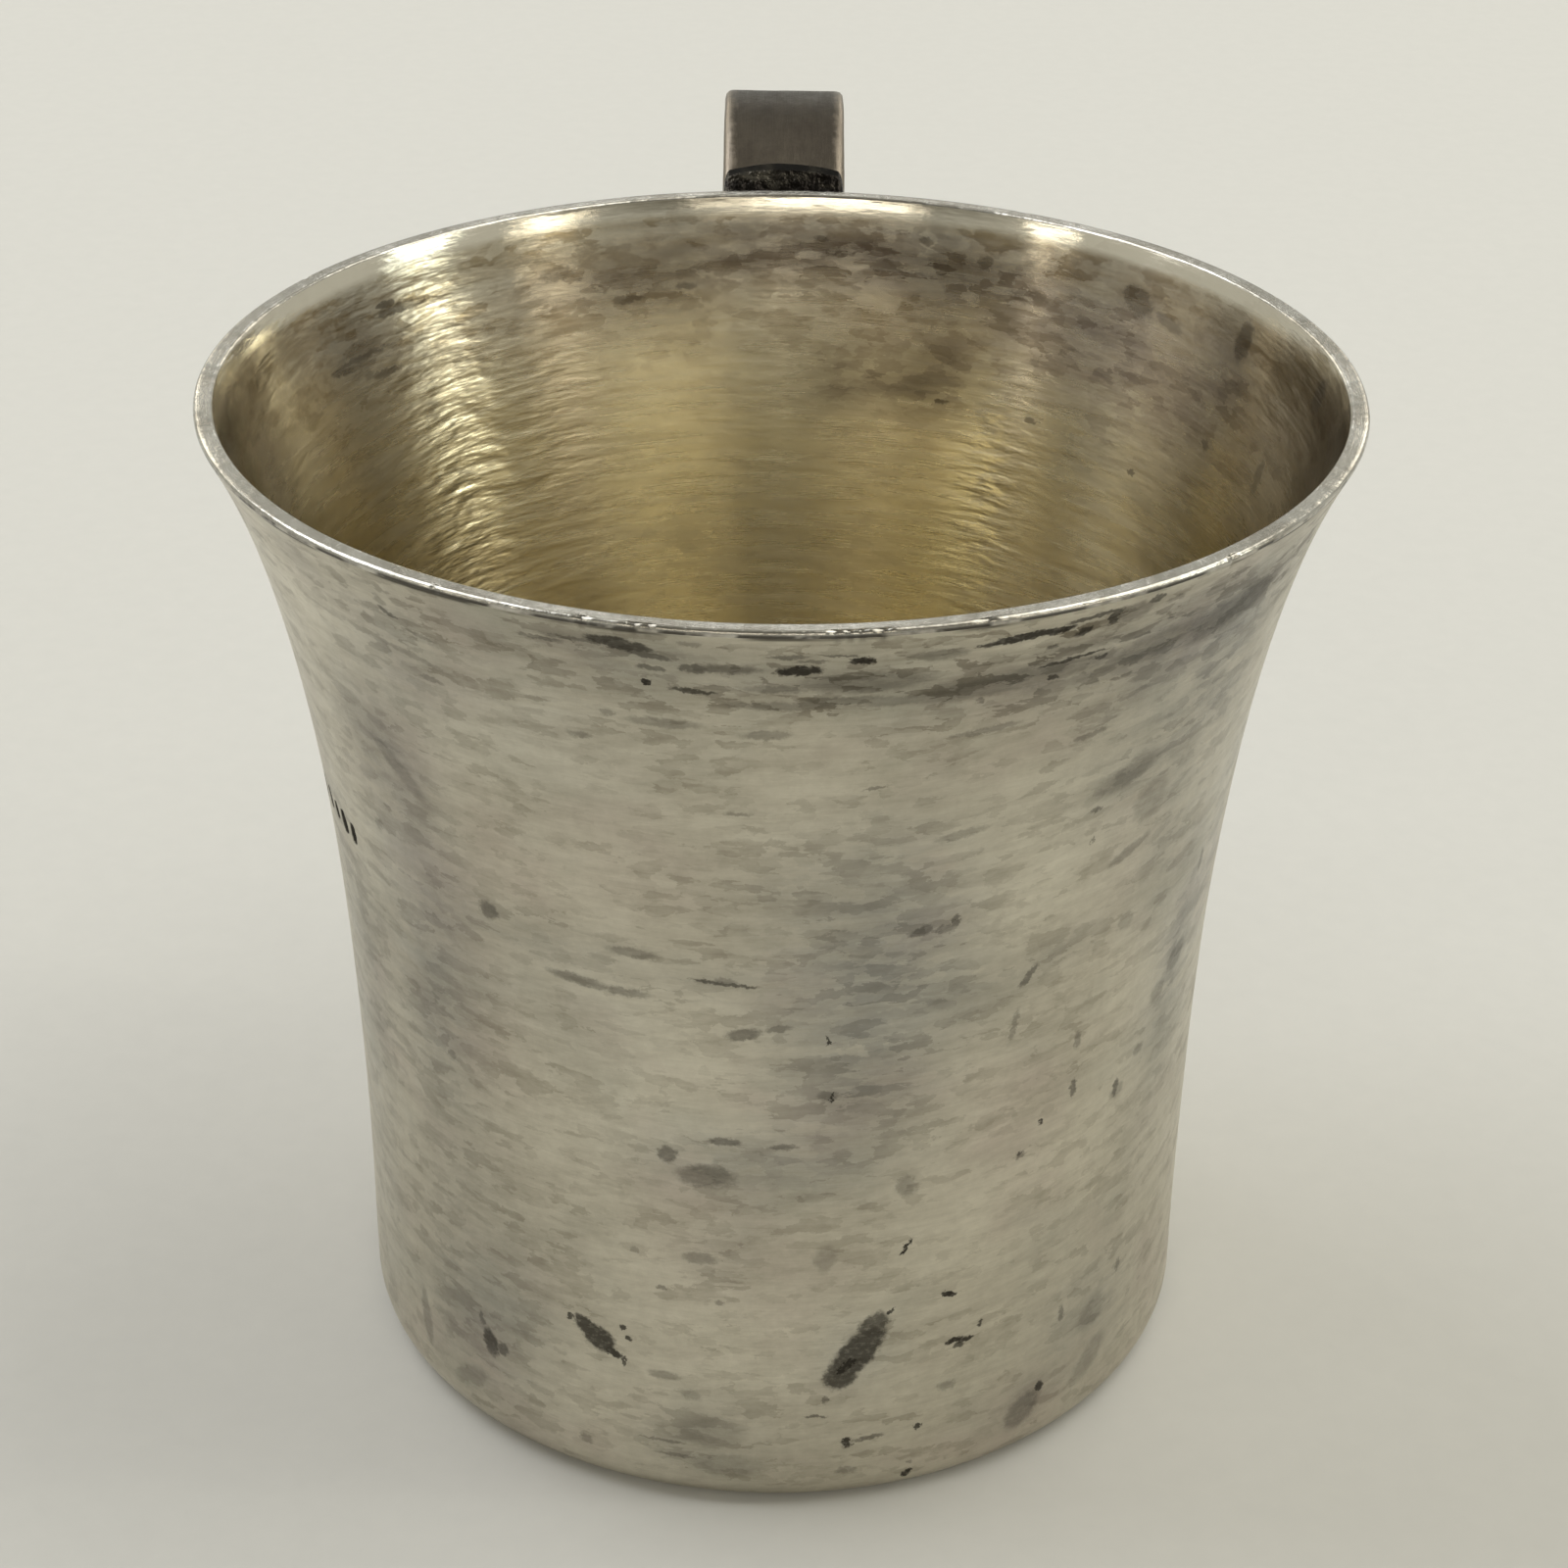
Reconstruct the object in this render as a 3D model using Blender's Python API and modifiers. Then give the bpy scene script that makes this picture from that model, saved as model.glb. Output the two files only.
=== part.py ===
"""Small silver cup: a turned, flared body with a thickened lip, and a strap handle soldered to its back.

The origin is the centre of the flat underside, +Z is up and the handle stands out along +Y. All sizes are in metres.
"""

import math

import bmesh
import bpy
from mathutils import Matrix, Vector

# Body, outside
CUP_HEIGHT = 0.0720
BASE_RADIUS = 0.0304
RIM_RADIUS = 0.0393
LIP_TURN_OUT = 0.0014
BOTTOM_ROUND = 0.0022

# Body, metal thickness and inside
WALL = 0.0009
FLOOR = 0.0012
WELL_ROUND = 0.0030
LIP_WIDTH = 0.0014
LIP_DEPTH = 0.0045
LIP_OUTER_ROUND = 0.0003
LIP_INNER_ROUND = 0.0003

# The side is a slow cubic flare, and the lip turns out over the last few millimetres only
FLARE_POWER = 3
LIP_TURN_POWER = 12

# Strap handle
STRAP_WIDTH = 0.0096
STRAP_THICKNESS = 0.0022
STRAP_EDGE_ROUND = 0.0007
UPPER_JOINT_BELOW_RIM = 0.0044
UPPER_JOINT_RISE = math.radians(44)
LOWER_JOINT_HEIGHT = 0.0180
LOWER_JOINT_RISE = math.radians(21)
STRAP_REACH = 0.0230
STRAP_REACH_HEIGHT = 0.0580

# How long the strap's line is pulled along each end's direction, and along the upright at its furthest point
UPPER_END_PULL = 0.0259
SHOULDER_PULL = 0.0155
BACK_PULL = 0.0180
LOWER_END_PULL = 0.0210

# The strap's ends follow the wall at this distance, as solder does, and its blank reaches this far past the wall
JOINT_GAP = 0.0003
END_ALLOWANCE = 0.0040

# Fineness of the faceted solids
TURN_STEPS = 72
WALL_ROWS = 11
WALL_ROW_CROWDING = 1.5
ROUND_STEPS = 4
STRAP_STEPS = 16
STRAP_EDGE_STEPS = 3
STRAP_EDGE_ANGLE = math.radians(50)
MERGE_DISTANCE = 0.00001


def clear_scene():
    for old in list(bpy.data.objects):
        bpy.data.objects.remove(old)


def new_collection(name):
    made = bpy.data.collections.new(name)
    bpy.context.scene.collection.children.link(made)
    return made


def metal(name, colour, roughness):
    made = bpy.data.materials.new(name)
    made.use_nodes = True
    shader = made.node_tree.nodes["Principled BSDF"]
    shader.inputs["Base Color"].default_value = (*colour, 1.0)
    shader.inputs["Metallic"].default_value = 1.0
    shader.inputs["Roughness"].default_value = roughness
    made.diffuse_color = (*colour, 1.0)
    return made


def outer_radius(height):
    share = height / CUP_HEIGHT
    flare = RIM_RADIUS - BASE_RADIUS - LIP_TURN_OUT
    return BASE_RADIUS + flare * share**FLARE_POWER + LIP_TURN_OUT * share**LIP_TURN_POWER


def outer_slope(height):
    """How much the outside widens for each metre of height."""
    share = height / CUP_HEIGHT
    flare = RIM_RADIUS - BASE_RADIUS - LIP_TURN_OUT
    cubic = flare * FLARE_POWER * share ** (FLARE_POWER - 1)
    turn = LIP_TURN_OUT * LIP_TURN_POWER * share ** (LIP_TURN_POWER - 1)
    return (cubic + turn) / CUP_HEIGHT


def inner_radius(height):
    """The inside follows the outside at one wall's thickness, and the metal swells to the lip's width near the top."""
    into_lip = min(1.0, max(0.0, (height - CUP_HEIGHT + LIP_DEPTH) / LIP_DEPTH))
    swell = into_lip * into_lip * (3 - 2 * into_lip)
    plain = WALL * math.hypot(1.0, outer_slope(height))
    return outer_radius(height) - (plain + (LIP_WIDTH - plain) * swell)


def rows(low, high):
    """Heights from low to high, closer together towards the top, where the side curves most."""
    shares = [1 - (1 - step / WALL_ROWS) ** WALL_ROW_CROWDING for step in range(WALL_ROWS + 1)]
    return [low + (high - low) * share for share in shares]


def point(radius, height):
    return Vector((radius, height))


def rounded(before, corner, after, radius):
    """Points of the arc that rounds a corner of a profile, tangent to both of its sides."""
    towards_before = (before - corner).normalized()
    towards_after = (after - corner).normalized()
    half = towards_before.angle(towards_after) / 2
    centre = corner + (towards_before + towards_after).normalized() * (radius / math.sin(half))
    first = corner + towards_before * (radius / math.tan(half)) - centre
    last = corner + towards_after * (radius / math.tan(half)) - centre
    return [centre + radius * first.slerp(last, step / ROUND_STEPS) for step in range(ROUND_STEPS + 1)]


def body_profile():
    """From the middle of the well, up the inside, over the lip, down the outside and back to the axis."""
    well_top = FLOOR + WELL_ROUND
    inside = [point(inner_radius(z), z) for z in rows(well_top, CUP_HEIGHT - LIP_INNER_ROUND * 2)]
    outside = [point(outer_radius(z), z) for z in rows(BOTTOM_ROUND, CUP_HEIGHT - LIP_OUTER_ROUND * 2)]
    well_middle = point(0.0, FLOOR)
    well_corner = point(inner_radius(well_top), FLOOR)
    lip_inner = point(RIM_RADIUS - LIP_WIDTH, CUP_HEIGHT)
    lip_outer = point(RIM_RADIUS, CUP_HEIGHT)
    bottom_corner = point(outer_radius(BOTTOM_ROUND), 0.0)
    bottom_middle = point(0.0, 0.0)
    return [
        well_middle,
        *rounded(well_middle, well_corner, inside[0], WELL_ROUND),
        *inside[1:],
        *rounded(inside[-1], lip_inner, lip_outer, LIP_INNER_ROUND),
        *rounded(lip_inner, lip_outer, outside[-1], LIP_OUTER_ROUND),
        *reversed(outside[1:]),
        *rounded(outside[0], bottom_corner, bottom_middle, BOTTOM_ROUND),
        bottom_middle,
    ]


def turned(name, profile, collection):
    """An object whose profile, at +X and running down its outer side, is turned about the Z axis."""
    mesh = bpy.data.meshes.new(name)
    shape = bmesh.new()
    line = [shape.verts.new((p.x, 0.0, p.y)) for p in profile]
    for one, other in zip(line, line[1:]):
        shape.edges.new((one, other))
    shape.to_mesh(mesh)
    shape.free()
    made = bpy.data.objects.new(name, mesh)
    collection.objects.link(made)
    screw = made.modifiers.new("turn", "SCREW")
    screw.axis = "Z"
    screw.steps = TURN_STEPS
    screw.render_steps = TURN_STEPS
    screw.use_merge_vertices = True
    screw.merge_threshold = MERGE_DISTANCE
    screw.use_smooth_shade = True
    return made


def make_body(collection):
    body = turned("cup_body", body_profile(), collection)
    body.data.materials.append(metal("worn silver", (0.62, 0.60, 0.53), 0.32))
    return body


def make_trimmer(collection):
    """The space of the body grown by the joint's gap, which cuts both ends of the strap to the wall's curve."""
    side = [point(outer_radius(z) + JOINT_GAP, z) for z in reversed(rows(0.0, CUP_HEIGHT))]
    top = CUP_HEIGHT + JOINT_GAP
    profile = [point(0.0, top), point(side[0].x, top), *side, point(side[-1].x, -JOINT_GAP), point(0.0, -JOINT_GAP)]
    trimmer = turned("strap_trimmer", profile, collection)
    trimmer.display_type = "WIRE"
    trimmer.hide_render = True
    return trimmer


def strap_line():
    """The strap's middle line as Bezier points (place, handle before, handle after), out of the wall and back in."""
    out = point(math.cos(UPPER_JOINT_RISE), math.sin(UPPER_JOINT_RISE))
    back = point(math.cos(LOWER_JOINT_RISE), math.sin(LOWER_JOINT_RISE))
    up = point(0.0, 1.0)
    upper_height = CUP_HEIGHT - UPPER_JOINT_BELOW_RIM
    upper = point(outer_radius(upper_height), upper_height) - out * END_ALLOWANCE
    lower = point(outer_radius(LOWER_JOINT_HEIGHT), LOWER_JOINT_HEIGHT) - back * END_ALLOWANCE
    furthest = point(RIM_RADIUS + STRAP_REACH - STRAP_THICKNESS / 2, STRAP_REACH_HEIGHT)
    return [
        (upper, upper, upper + out * UPPER_END_PULL),
        (furthest, furthest + up * SHOULDER_PULL, furthest - up * BACK_PULL),
        (lower, lower + back * LOWER_END_PULL, lower),
    ]


def strap_ribbon():
    """A ribbon of the strap's width along its middle line, as a mesh in the YZ plane."""
    curve = bpy.data.curves.new("strap_line", "CURVE")
    curve.dimensions = "2D"
    curve.fill_mode = "NONE"
    curve.extrude = STRAP_WIDTH / 2
    curve.resolution_u = STRAP_STEPS
    spline = curve.splines.new("BEZIER")
    line = strap_line()
    spline.bezier_points.add(len(line) - 1)
    for knot, (place, before, after) in zip(spline.bezier_points, line):
        knot.handle_left_type = "FREE"
        knot.handle_right_type = "FREE"
        knot.co = (*place, 0.0)
        knot.handle_left = (*before, 0.0)
        knot.handle_right = (*after, 0.0)
    guide = bpy.data.objects.new("strap_line", curve)
    bpy.context.scene.collection.objects.link(guide)
    # The line is drawn flat, so its X becomes +Y, its Y becomes +Z and its width lies along X
    guide.matrix_world = Matrix(((0, 0, 1, 0), (1, 0, 0, 0), (0, 1, 0, 0), (0, 0, 0, 1)))
    bpy.context.view_layer.update()
    graph = bpy.context.evaluated_depsgraph_get()
    mesh = bpy.data.meshes.new_from_object(guide.evaluated_get(graph))
    mesh.transform(guide.matrix_world)
    bpy.data.objects.remove(guide)
    shape = bmesh.new()
    shape.from_mesh(mesh)
    bmesh.ops.remove_doubles(shape, verts=shape.verts, dist=MERGE_DISTANCE)
    shape.to_mesh(mesh)
    shape.free()
    return mesh


def make_handle(collection, trimmer):
    """The ribbon is given the strap's thickness and soft edges, and is trimmed where it meets the wall."""
    handle = bpy.data.objects.new("handle_strap", strap_ribbon())
    collection.objects.link(handle)
    thickness = handle.modifiers.new("thickness", "SOLIDIFY")
    thickness.thickness = STRAP_THICKNESS
    thickness.offset = 0.0
    thickness.use_even_offset = True
    edges = handle.modifiers.new("soft edges", "BEVEL")
    edges.width = STRAP_EDGE_ROUND
    edges.segments = STRAP_EDGE_STEPS
    edges.limit_method = "ANGLE"
    edges.angle_limit = STRAP_EDGE_ANGLE
    trim = handle.modifiers.new("trim to the wall", "BOOLEAN")
    trim.operation = "DIFFERENCE"
    trim.object = trimmer
    handle.data.materials.append(metal("tarnished silver", (0.40, 0.37, 0.33), 0.30))
    handle.data.shade_smooth()
    handle.data.set_sharp_from_angle(angle=STRAP_EDGE_ANGLE)
    return handle


def main():
    clear_scene()
    cup = new_collection("silver_cup")
    cutters = new_collection("cutters")
    make_body(cup)
    make_handle(cup, make_trimmer(cutters))


main()
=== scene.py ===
import math
import random

import bmesh
import bpy
import numpy as np
from mathutils import Matrix, Vector, noise


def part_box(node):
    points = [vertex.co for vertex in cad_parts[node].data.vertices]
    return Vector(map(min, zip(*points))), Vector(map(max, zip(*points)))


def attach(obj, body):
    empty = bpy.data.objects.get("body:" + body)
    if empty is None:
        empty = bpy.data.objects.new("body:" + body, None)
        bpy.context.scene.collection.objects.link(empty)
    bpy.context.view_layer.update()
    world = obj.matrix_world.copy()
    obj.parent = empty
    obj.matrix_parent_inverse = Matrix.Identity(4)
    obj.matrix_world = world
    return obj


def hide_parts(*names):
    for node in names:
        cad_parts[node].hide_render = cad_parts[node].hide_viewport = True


# Small silver cup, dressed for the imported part: its turned body, its strap handle and the solder that joins
# them, with their worn and tarnished finishes, in a plain pale studio. All sizes are in metres unless a
# name says otherwise, +Z is up, the handle stands out along +Y and the camera looks from -Y.
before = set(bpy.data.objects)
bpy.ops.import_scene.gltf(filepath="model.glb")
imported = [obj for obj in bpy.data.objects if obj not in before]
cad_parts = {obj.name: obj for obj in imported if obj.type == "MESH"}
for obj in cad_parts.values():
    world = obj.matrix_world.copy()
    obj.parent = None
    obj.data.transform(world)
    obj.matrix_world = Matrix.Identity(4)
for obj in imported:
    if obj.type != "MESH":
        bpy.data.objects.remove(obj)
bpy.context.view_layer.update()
STRAP_LOW, STRAP_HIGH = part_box("handle_strap")

bl_info = {
    "name": "Silver cup",
    "version": (1, 0, 0),
    "blender": (4, 5, 0),
    "location": "3D View > Sidebar > Silver cup",
    "description": "Makes a small worn silver cup with a strap handle, and a plain studio round it",
    "category": "Object",
}

MM = 1000.0
BODY = "root"

# Body, as the part has it
CUP_HEIGHT = 0.0720
BASE_RADIUS = 0.0304
RIM_RADIUS = 0.0393
LIP_TURN_OUT = 0.0014
BOTTOM_ROUND = 0.0022
WALL = 0.0009
FLOOR = 0.0012
WELL_ROUND = 0.0030
LIP_WIDTH = 0.0014
LIP_DEPTH = 0.0045
LIP_OUTER_ROUND = 0.0003
LIP_INNER_ROUND = 0.0003
FLARE_POWER = 3
LIP_TURN_POWER = 12

# Strap handle, as the part has it
UPPER_JOINT_BELOW_RIM = 0.0044
UPPER_JOINT_RISE = math.radians(44)
LOWER_JOINT_HEIGHT = 0.0180
LOWER_JOINT_RISE = math.radians(21)
STRAP_THICKNESS = 0.0022
STRAP_REACH = 0.0230
STRAP_REACH_HEIGHT = 0.0580
UPPER_END_PULL = 0.0259
SHOULDER_PULL = 0.0155
BACK_PULL = 0.0180
LOWER_END_PULL = 0.0210
END_ALLOWANCE = 0.0040

# Fineness of the turned body: columns round it, and rows along each stretch of its profile
COLUMNS = 264
INSIDE_ROWS = 80
OUTSIDE_ROWS = 110
FLAT_ROWS = 13
LIP_ARC_ROWS = 7
BASE_ARC_ROWS = 9
MERGE_DISTANCE = 0.000002

# Marks are laid out in millimetres round the cup and up it, at this radius, and angle 0 faces the camera
MEAN_RADIUS = 0.034

# The sheet doesn't wander this far up from the underside
STILL_BELOW = 0.003

# Camera, fitted to the photograph's outline of the rim, the side and the base
LENS = 74.25
SENSOR = 36.0
CAMERA_PLACE = (0.0, -0.203699, 0.152652)
CAMERA_PITCH = 0.502486
CAMERA_YAW = 0.002204
CAMERA_ROLL = 0.010764


def linear(code):
    """The linear colour, with alpha, of an sRGB hex code."""
    channels = [int(code[place:place + 2], 16) / 255 for place in (1, 3, 5)]
    return (*[c / 12.92 if c <= 0.04045 else ((c + 0.055) / 1.055) ** 2.4 for c in channels], 1.0)


def pick(sockets, key):
    """A socket by its number, or by its name among those in use."""
    return sockets[key] if isinstance(key, int) else next(s for s in sockets if s.name == key and s.enabled)


def add(tree, kind, inputs=None, **settings):
    """Adds a node with its settings. Each input is a value, a socket or a node, whose first output in use
    is taken."""
    made = tree.nodes.new(kind)
    for name, value in settings.items():
        setattr(made, name, value)
    for key, value in (inputs or {}).items():
        socket = pick(made.inputs, key)
        if isinstance(value, bpy.types.Node):
            value = next(s for s in value.outputs if s.enabled)
        if isinstance(value, bpy.types.NodeSocket):
            tree.links.new(value, socket)
        else:
            socket.default_value = value
    return made


def arc(angle):
    """The distance round the cup, in millimetres, of an angle in degrees."""
    return math.radians(angle) * MEAN_RADIUS * MM


def smoothstep(low, high, value):
    """How far a value has come from low to high, from 0 to 1, eased at both ends."""
    share = min(1.0, max(0.0, (value - low) / (high - low)))
    return share * share * (3 - 2 * share)


def outer_radius(height):
    share = height / CUP_HEIGHT
    flare = RIM_RADIUS - BASE_RADIUS - LIP_TURN_OUT
    return BASE_RADIUS + flare * share**FLARE_POWER + LIP_TURN_OUT * share**LIP_TURN_POWER


def outer_slope(height):
    """How much the outside widens for each metre of height."""
    share = height / CUP_HEIGHT
    flare = RIM_RADIUS - BASE_RADIUS - LIP_TURN_OUT
    cubic = flare * FLARE_POWER * share ** (FLARE_POWER - 1)
    turn = LIP_TURN_OUT * LIP_TURN_POWER * share ** (LIP_TURN_POWER - 1)
    return (cubic + turn) / CUP_HEIGHT


def inner_radius(height):
    """The inside follows the outside at one wall's thickness, and the metal swells to the lip's width near
    the top."""
    swell = smoothstep(0.0, LIP_DEPTH, height - CUP_HEIGHT + LIP_DEPTH)
    plain = WALL * math.hypot(1.0, outer_slope(height))
    return outer_radius(height) - (plain + (LIP_WIDTH - plain) * swell)


def evenly(low, high, steps, crowding):
    """Values from low to high, closer together towards high where crowding is above 1."""
    return [low + (high - low) * (1 - (1 - step / steps) ** crowding) for step in range(steps + 1)]


def rounded(before, corner, after, radius, steps):
    """Points of the arc that rounds a corner of a profile, tangent to both of its sides."""
    towards_before = (before - corner).normalized()
    towards_after = (after - corner).normalized()
    half = towards_before.angle(towards_after) / 2
    centre = corner + (towards_before + towards_after).normalized() * (radius / math.sin(half))
    first = corner + towards_before * (radius / math.tan(half)) - centre
    last = corner + towards_after * (radius / math.tan(half)) - centre
    return [centre + radius * first.slerp(last, step / steps) for step in range(steps + 1)]


def body_profile():
    """The profile as (radius, height) points from the middle of the underside, up the outside, over the
    lip, down the inside and along the well to its middle, with the numbers of the lip's first and last
    points."""
    well_top = FLOOR + WELL_ROUND
    outside = [Vector((outer_radius(z), z))
               for z in evenly(BOTTOM_ROUND, CUP_HEIGHT - LIP_OUTER_ROUND * 2, OUTSIDE_ROWS, 1.3)]
    inside = [Vector((inner_radius(z), z))
              for z in evenly(well_top, CUP_HEIGHT - LIP_INNER_ROUND * 2, INSIDE_ROWS, 1.5)]
    bottom_corner = Vector((outer_radius(BOTTOM_ROUND), 0.0))
    bottom_arc = rounded(Vector((0.0, 0.0)), bottom_corner, outside[0], BOTTOM_ROUND, BASE_ARC_ROWS)
    lip_outer = Vector((RIM_RADIUS, CUP_HEIGHT))
    lip_inner = Vector((RIM_RADIUS - LIP_WIDTH, CUP_HEIGHT))
    outer_arc = rounded(outside[-1], lip_outer, lip_inner, LIP_OUTER_ROUND, LIP_ARC_ROWS)
    inner_arc = rounded(lip_outer, lip_inner, inside[-1], LIP_INNER_ROUND, LIP_ARC_ROWS)
    lip_top = [outer_arc[-1].lerp(inner_arc[0], share) for share in (0.25, 0.5, 0.75)]
    well_corner = Vector((inner_radius(well_top), FLOOR))
    well_arc = rounded(inside[0], well_corner, Vector((0.0, FLOOR)), WELL_ROUND, BASE_ARC_ROWS)
    under = [bottom_arc[0] * (step / FLAT_ROWS) for step in range(FLAT_ROWS)]
    well = [Vector((well_arc[-1].x * (1 - step / FLAT_ROWS), FLOOR)) for step in range(1, FLAT_ROWS + 1)]
    below_lip = [*under, *bottom_arc, *outside[1:]]
    lip = [*outer_arc, *lip_top, *inner_arc]
    points = [*below_lip, *lip, *reversed(inside[:-1])]
    points = [*points[:-1], *well_arc, *well]
    return points, len(below_lip), len(below_lip) + len(lip) - 1


PROFILE, LIP_FIRST, LIP_LAST = body_profile()
DISTANCES = [0.0]
for one, other in zip(PROFILE, PROFILE[1:]):
    DISTANCES.append(DISTANCES[-1] + (other - one).length)
PROFILE_LENGTH = DISTANCES[-1]


def profile_mesh():
    """The profile in the YZ plane, with each point's share of the way along it."""
    mesh = bpy.data.meshes.new("cup_profile")
    mesh.from_pydata([(0.0, p.x, p.y) for p in PROFILE], [(i, i + 1) for i in range(len(PROFILE) - 1)], [])
    shares = mesh.attributes.new("share", "FLOAT", "POINT")
    shares.data.foreach_set("value", [distance / PROFILE_LENGTH for distance in DISTANCES])
    return mesh


def new_tree(name, inputs):
    """An empty Geometry Nodes tree with these named inputs, and its input and output nodes."""
    tree = bpy.data.node_groups.new(name, "GeometryNodeTree")
    tree.interface.new_socket("Geometry", in_out="INPUT", socket_type="NodeSocketGeometry")
    for label, kind in inputs:
        tree.interface.new_socket(label, in_out="INPUT", socket_type="NodeSocket" + kind)
    tree.interface.new_socket("Geometry", in_out="OUTPUT", socket_type="NodeSocketGeometry")
    return tree, add(tree, "NodeGroupInput").outputs, add(tree, "NodeGroupOutput")


def swing_at(tree, place, given, detail, highest):
    """A soft noise from -1 to about highest, whose swells are a wave length apart."""
    pattern = add(tree, "ShaderNodeMath", {0: 1.0, 1: given["Wave Length"]}, operation="DIVIDE")
    wave = add(tree, "ShaderNodeTexNoise",
               {"Vector": place, "W": given["Seed"], "Scale": pattern, "Detail": detail},
               noise_dimensions="4D")
    return add(tree, "ShaderNodeMapRange",
               {"Value": wave, "From Min": 0.25, "From Max": 0.75, "To Min": -1.0, "To Max": highest},
               clamp=False)


def pushed_out(tree, shape, outwards, amount):
    """The shape with its points moved outwards by the amount, shaded smooth and made real."""
    step = add(tree, "ShaderNodeVectorMath", {0: outwards, "Scale": amount}, operation="SCALE")
    moved = add(tree, "GeometryNodeSetPosition", {"Geometry": shape, "Offset": step})
    smooth = add(tree, "GeometryNodeSetShadeSmooth", {"Geometry": moved})
    return add(tree, "GeometryNodeRealizeInstances", {"Geometry": smooth})


def turning_tree():
    """Turns a profile in the YZ plane about the Z axis, with its seam behind the handle, and lets the sheet
    wander by a little, as a raised or planished one does."""
    tree, given, result = new_tree("turned sheet", [
        ("Columns", "Int"), ("Rows", "Int"), ("Waviness", "Float"), ("Wave Length", "Float"),
        ("Still Below", "Float"), ("Lip From", "Float"), ("Lip To", "Float"), ("Outside", "Material"),
        ("Lip", "Material"), ("Inside", "Material"), ("Seed", "Float")])
    seam_columns = add(tree, "ShaderNodeMath", {0: given["Columns"], 1: 1.0}, operation="ADD")
    grid = add(tree, "GeometryNodeMeshGrid",
               {"Size X": 1.0, "Size Y": 1.0, "Vertices X": seam_columns, "Vertices Y": given["Rows"]})
    index = add(tree, "GeometryNodeInputIndex")
    row = add(tree, "ShaderNodeMath", {0: index, 1: given["Rows"]}, operation="FLOORED_MODULO")
    whole = add(tree, "ShaderNodeMath", {0: index, 1: given["Rows"]}, operation="DIVIDE")
    column = add(tree, "ShaderNodeMath", {0: whole}, operation="FLOOR")
    turned = add(tree, "ShaderNodeMath", {0: column, 1: given["Columns"]}, operation="DIVIDE")
    angle = add(tree, "ShaderNodeMath", {0: turned, 1: math.tau}, operation="MULTIPLY")
    place = add(tree, "GeometryNodeInputPosition")
    on_profile = add(tree, "GeometryNodeSampleIndex",
                     {"Geometry": given["Geometry"], "Value": place, "Index": row},
                     data_type="FLOAT_VECTOR", domain="POINT")
    named_share = add(tree, "GeometryNodeInputNamedAttribute", {"Name": "share"}, data_type="FLOAT")
    share = add(tree, "GeometryNodeSampleIndex",
                {"Geometry": given["Geometry"], "Value": named_share, "Index": row},
                data_type="FLOAT", domain="POINT")
    spun = add(tree, "ShaderNodeVectorRotate",
               {"Vector": on_profile, "Angle": angle}, rotation_type="Z_AXIS")
    unwrapped = add(tree, "ShaderNodeCombineXYZ", {"X": turned, "Y": share})
    by_point = add(tree, "GeometryNodeFieldOnDomain",
                   {"Value": unwrapped}, data_type="FLOAT_VECTOR", domain="POINT")
    with_share = add(tree, "GeometryNodeStoreNamedAttribute",
                     {"Geometry": pick(grid.outputs, "Mesh"), "Name": "share", "Value": share},
                     data_type="FLOAT", domain="POINT")
    with_map = add(tree, "GeometryNodeStoreNamedAttribute",
                   {"Geometry": with_share, "Name": "UVMap", "Value": by_point},
                   data_type="FLOAT2", domain="CORNER")
    set_out = add(tree, "GeometryNodeSetPosition", {"Geometry": with_map, "Position": spun})
    closed = add(tree, "GeometryNodeMergeByDistance", {"Geometry": set_out, "Distance": MERGE_DISTANCE})
    swing = swing_at(tree, place, given, 1.0, 1.0)
    parts = add(tree, "ShaderNodeSeparateXYZ", {"Vector": place})
    still = add(tree, "ShaderNodeMath", {0: given["Still Below"], 1: 2.0}, operation="MULTIPLY")
    loose = add(tree, "ShaderNodeMapRange", {"Value": parts.outputs["Z"], "From Min": given["Still Below"],
                                             "From Max": still}, interpolation_type="SMOOTHSTEP")
    allowed = add(tree, "ShaderNodeMath", {0: loose, 1: given["Waviness"]}, operation="MULTIPLY")
    amount = add(tree, "ShaderNodeMath", {0: swing, 1: allowed}, operation="MULTIPLY")
    level = add(tree, "ShaderNodeCombineXYZ", {"X": parts.outputs["X"], "Y": parts.outputs["Y"]})
    outwards = add(tree, "ShaderNodeVectorMath", {0: level}, operation="NORMALIZE")
    real = pushed_out(tree, closed, outwards, amount)
    past_lip = add(tree, "FunctionNodeCompare", {"A": named_share, "B": given["Lip From"]},
                   data_type="FLOAT", operation="GREATER_THAN")
    past_top = add(tree, "FunctionNodeCompare", {"A": named_share, "B": given["Lip To"]},
                   data_type="FLOAT", operation="GREATER_THAN")
    outside = add(tree, "GeometryNodeSetMaterial", {"Geometry": real, "Material": given["Outside"]})
    lip = add(tree, "GeometryNodeSetMaterial",
              {"Geometry": outside, "Selection": past_lip, "Material": given["Lip"]})
    inside = add(tree, "GeometryNodeSetMaterial",
                 {"Geometry": lip, "Selection": past_top, "Material": given["Inside"]})
    tree.links.new(inside.outputs[0], result.inputs[0])
    return tree


def placed(name, data):
    """A new object of this data, in the scene."""
    made = bpy.data.objects.new(name, data)
    bpy.context.scene.collection.objects.link(made)
    return made


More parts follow.
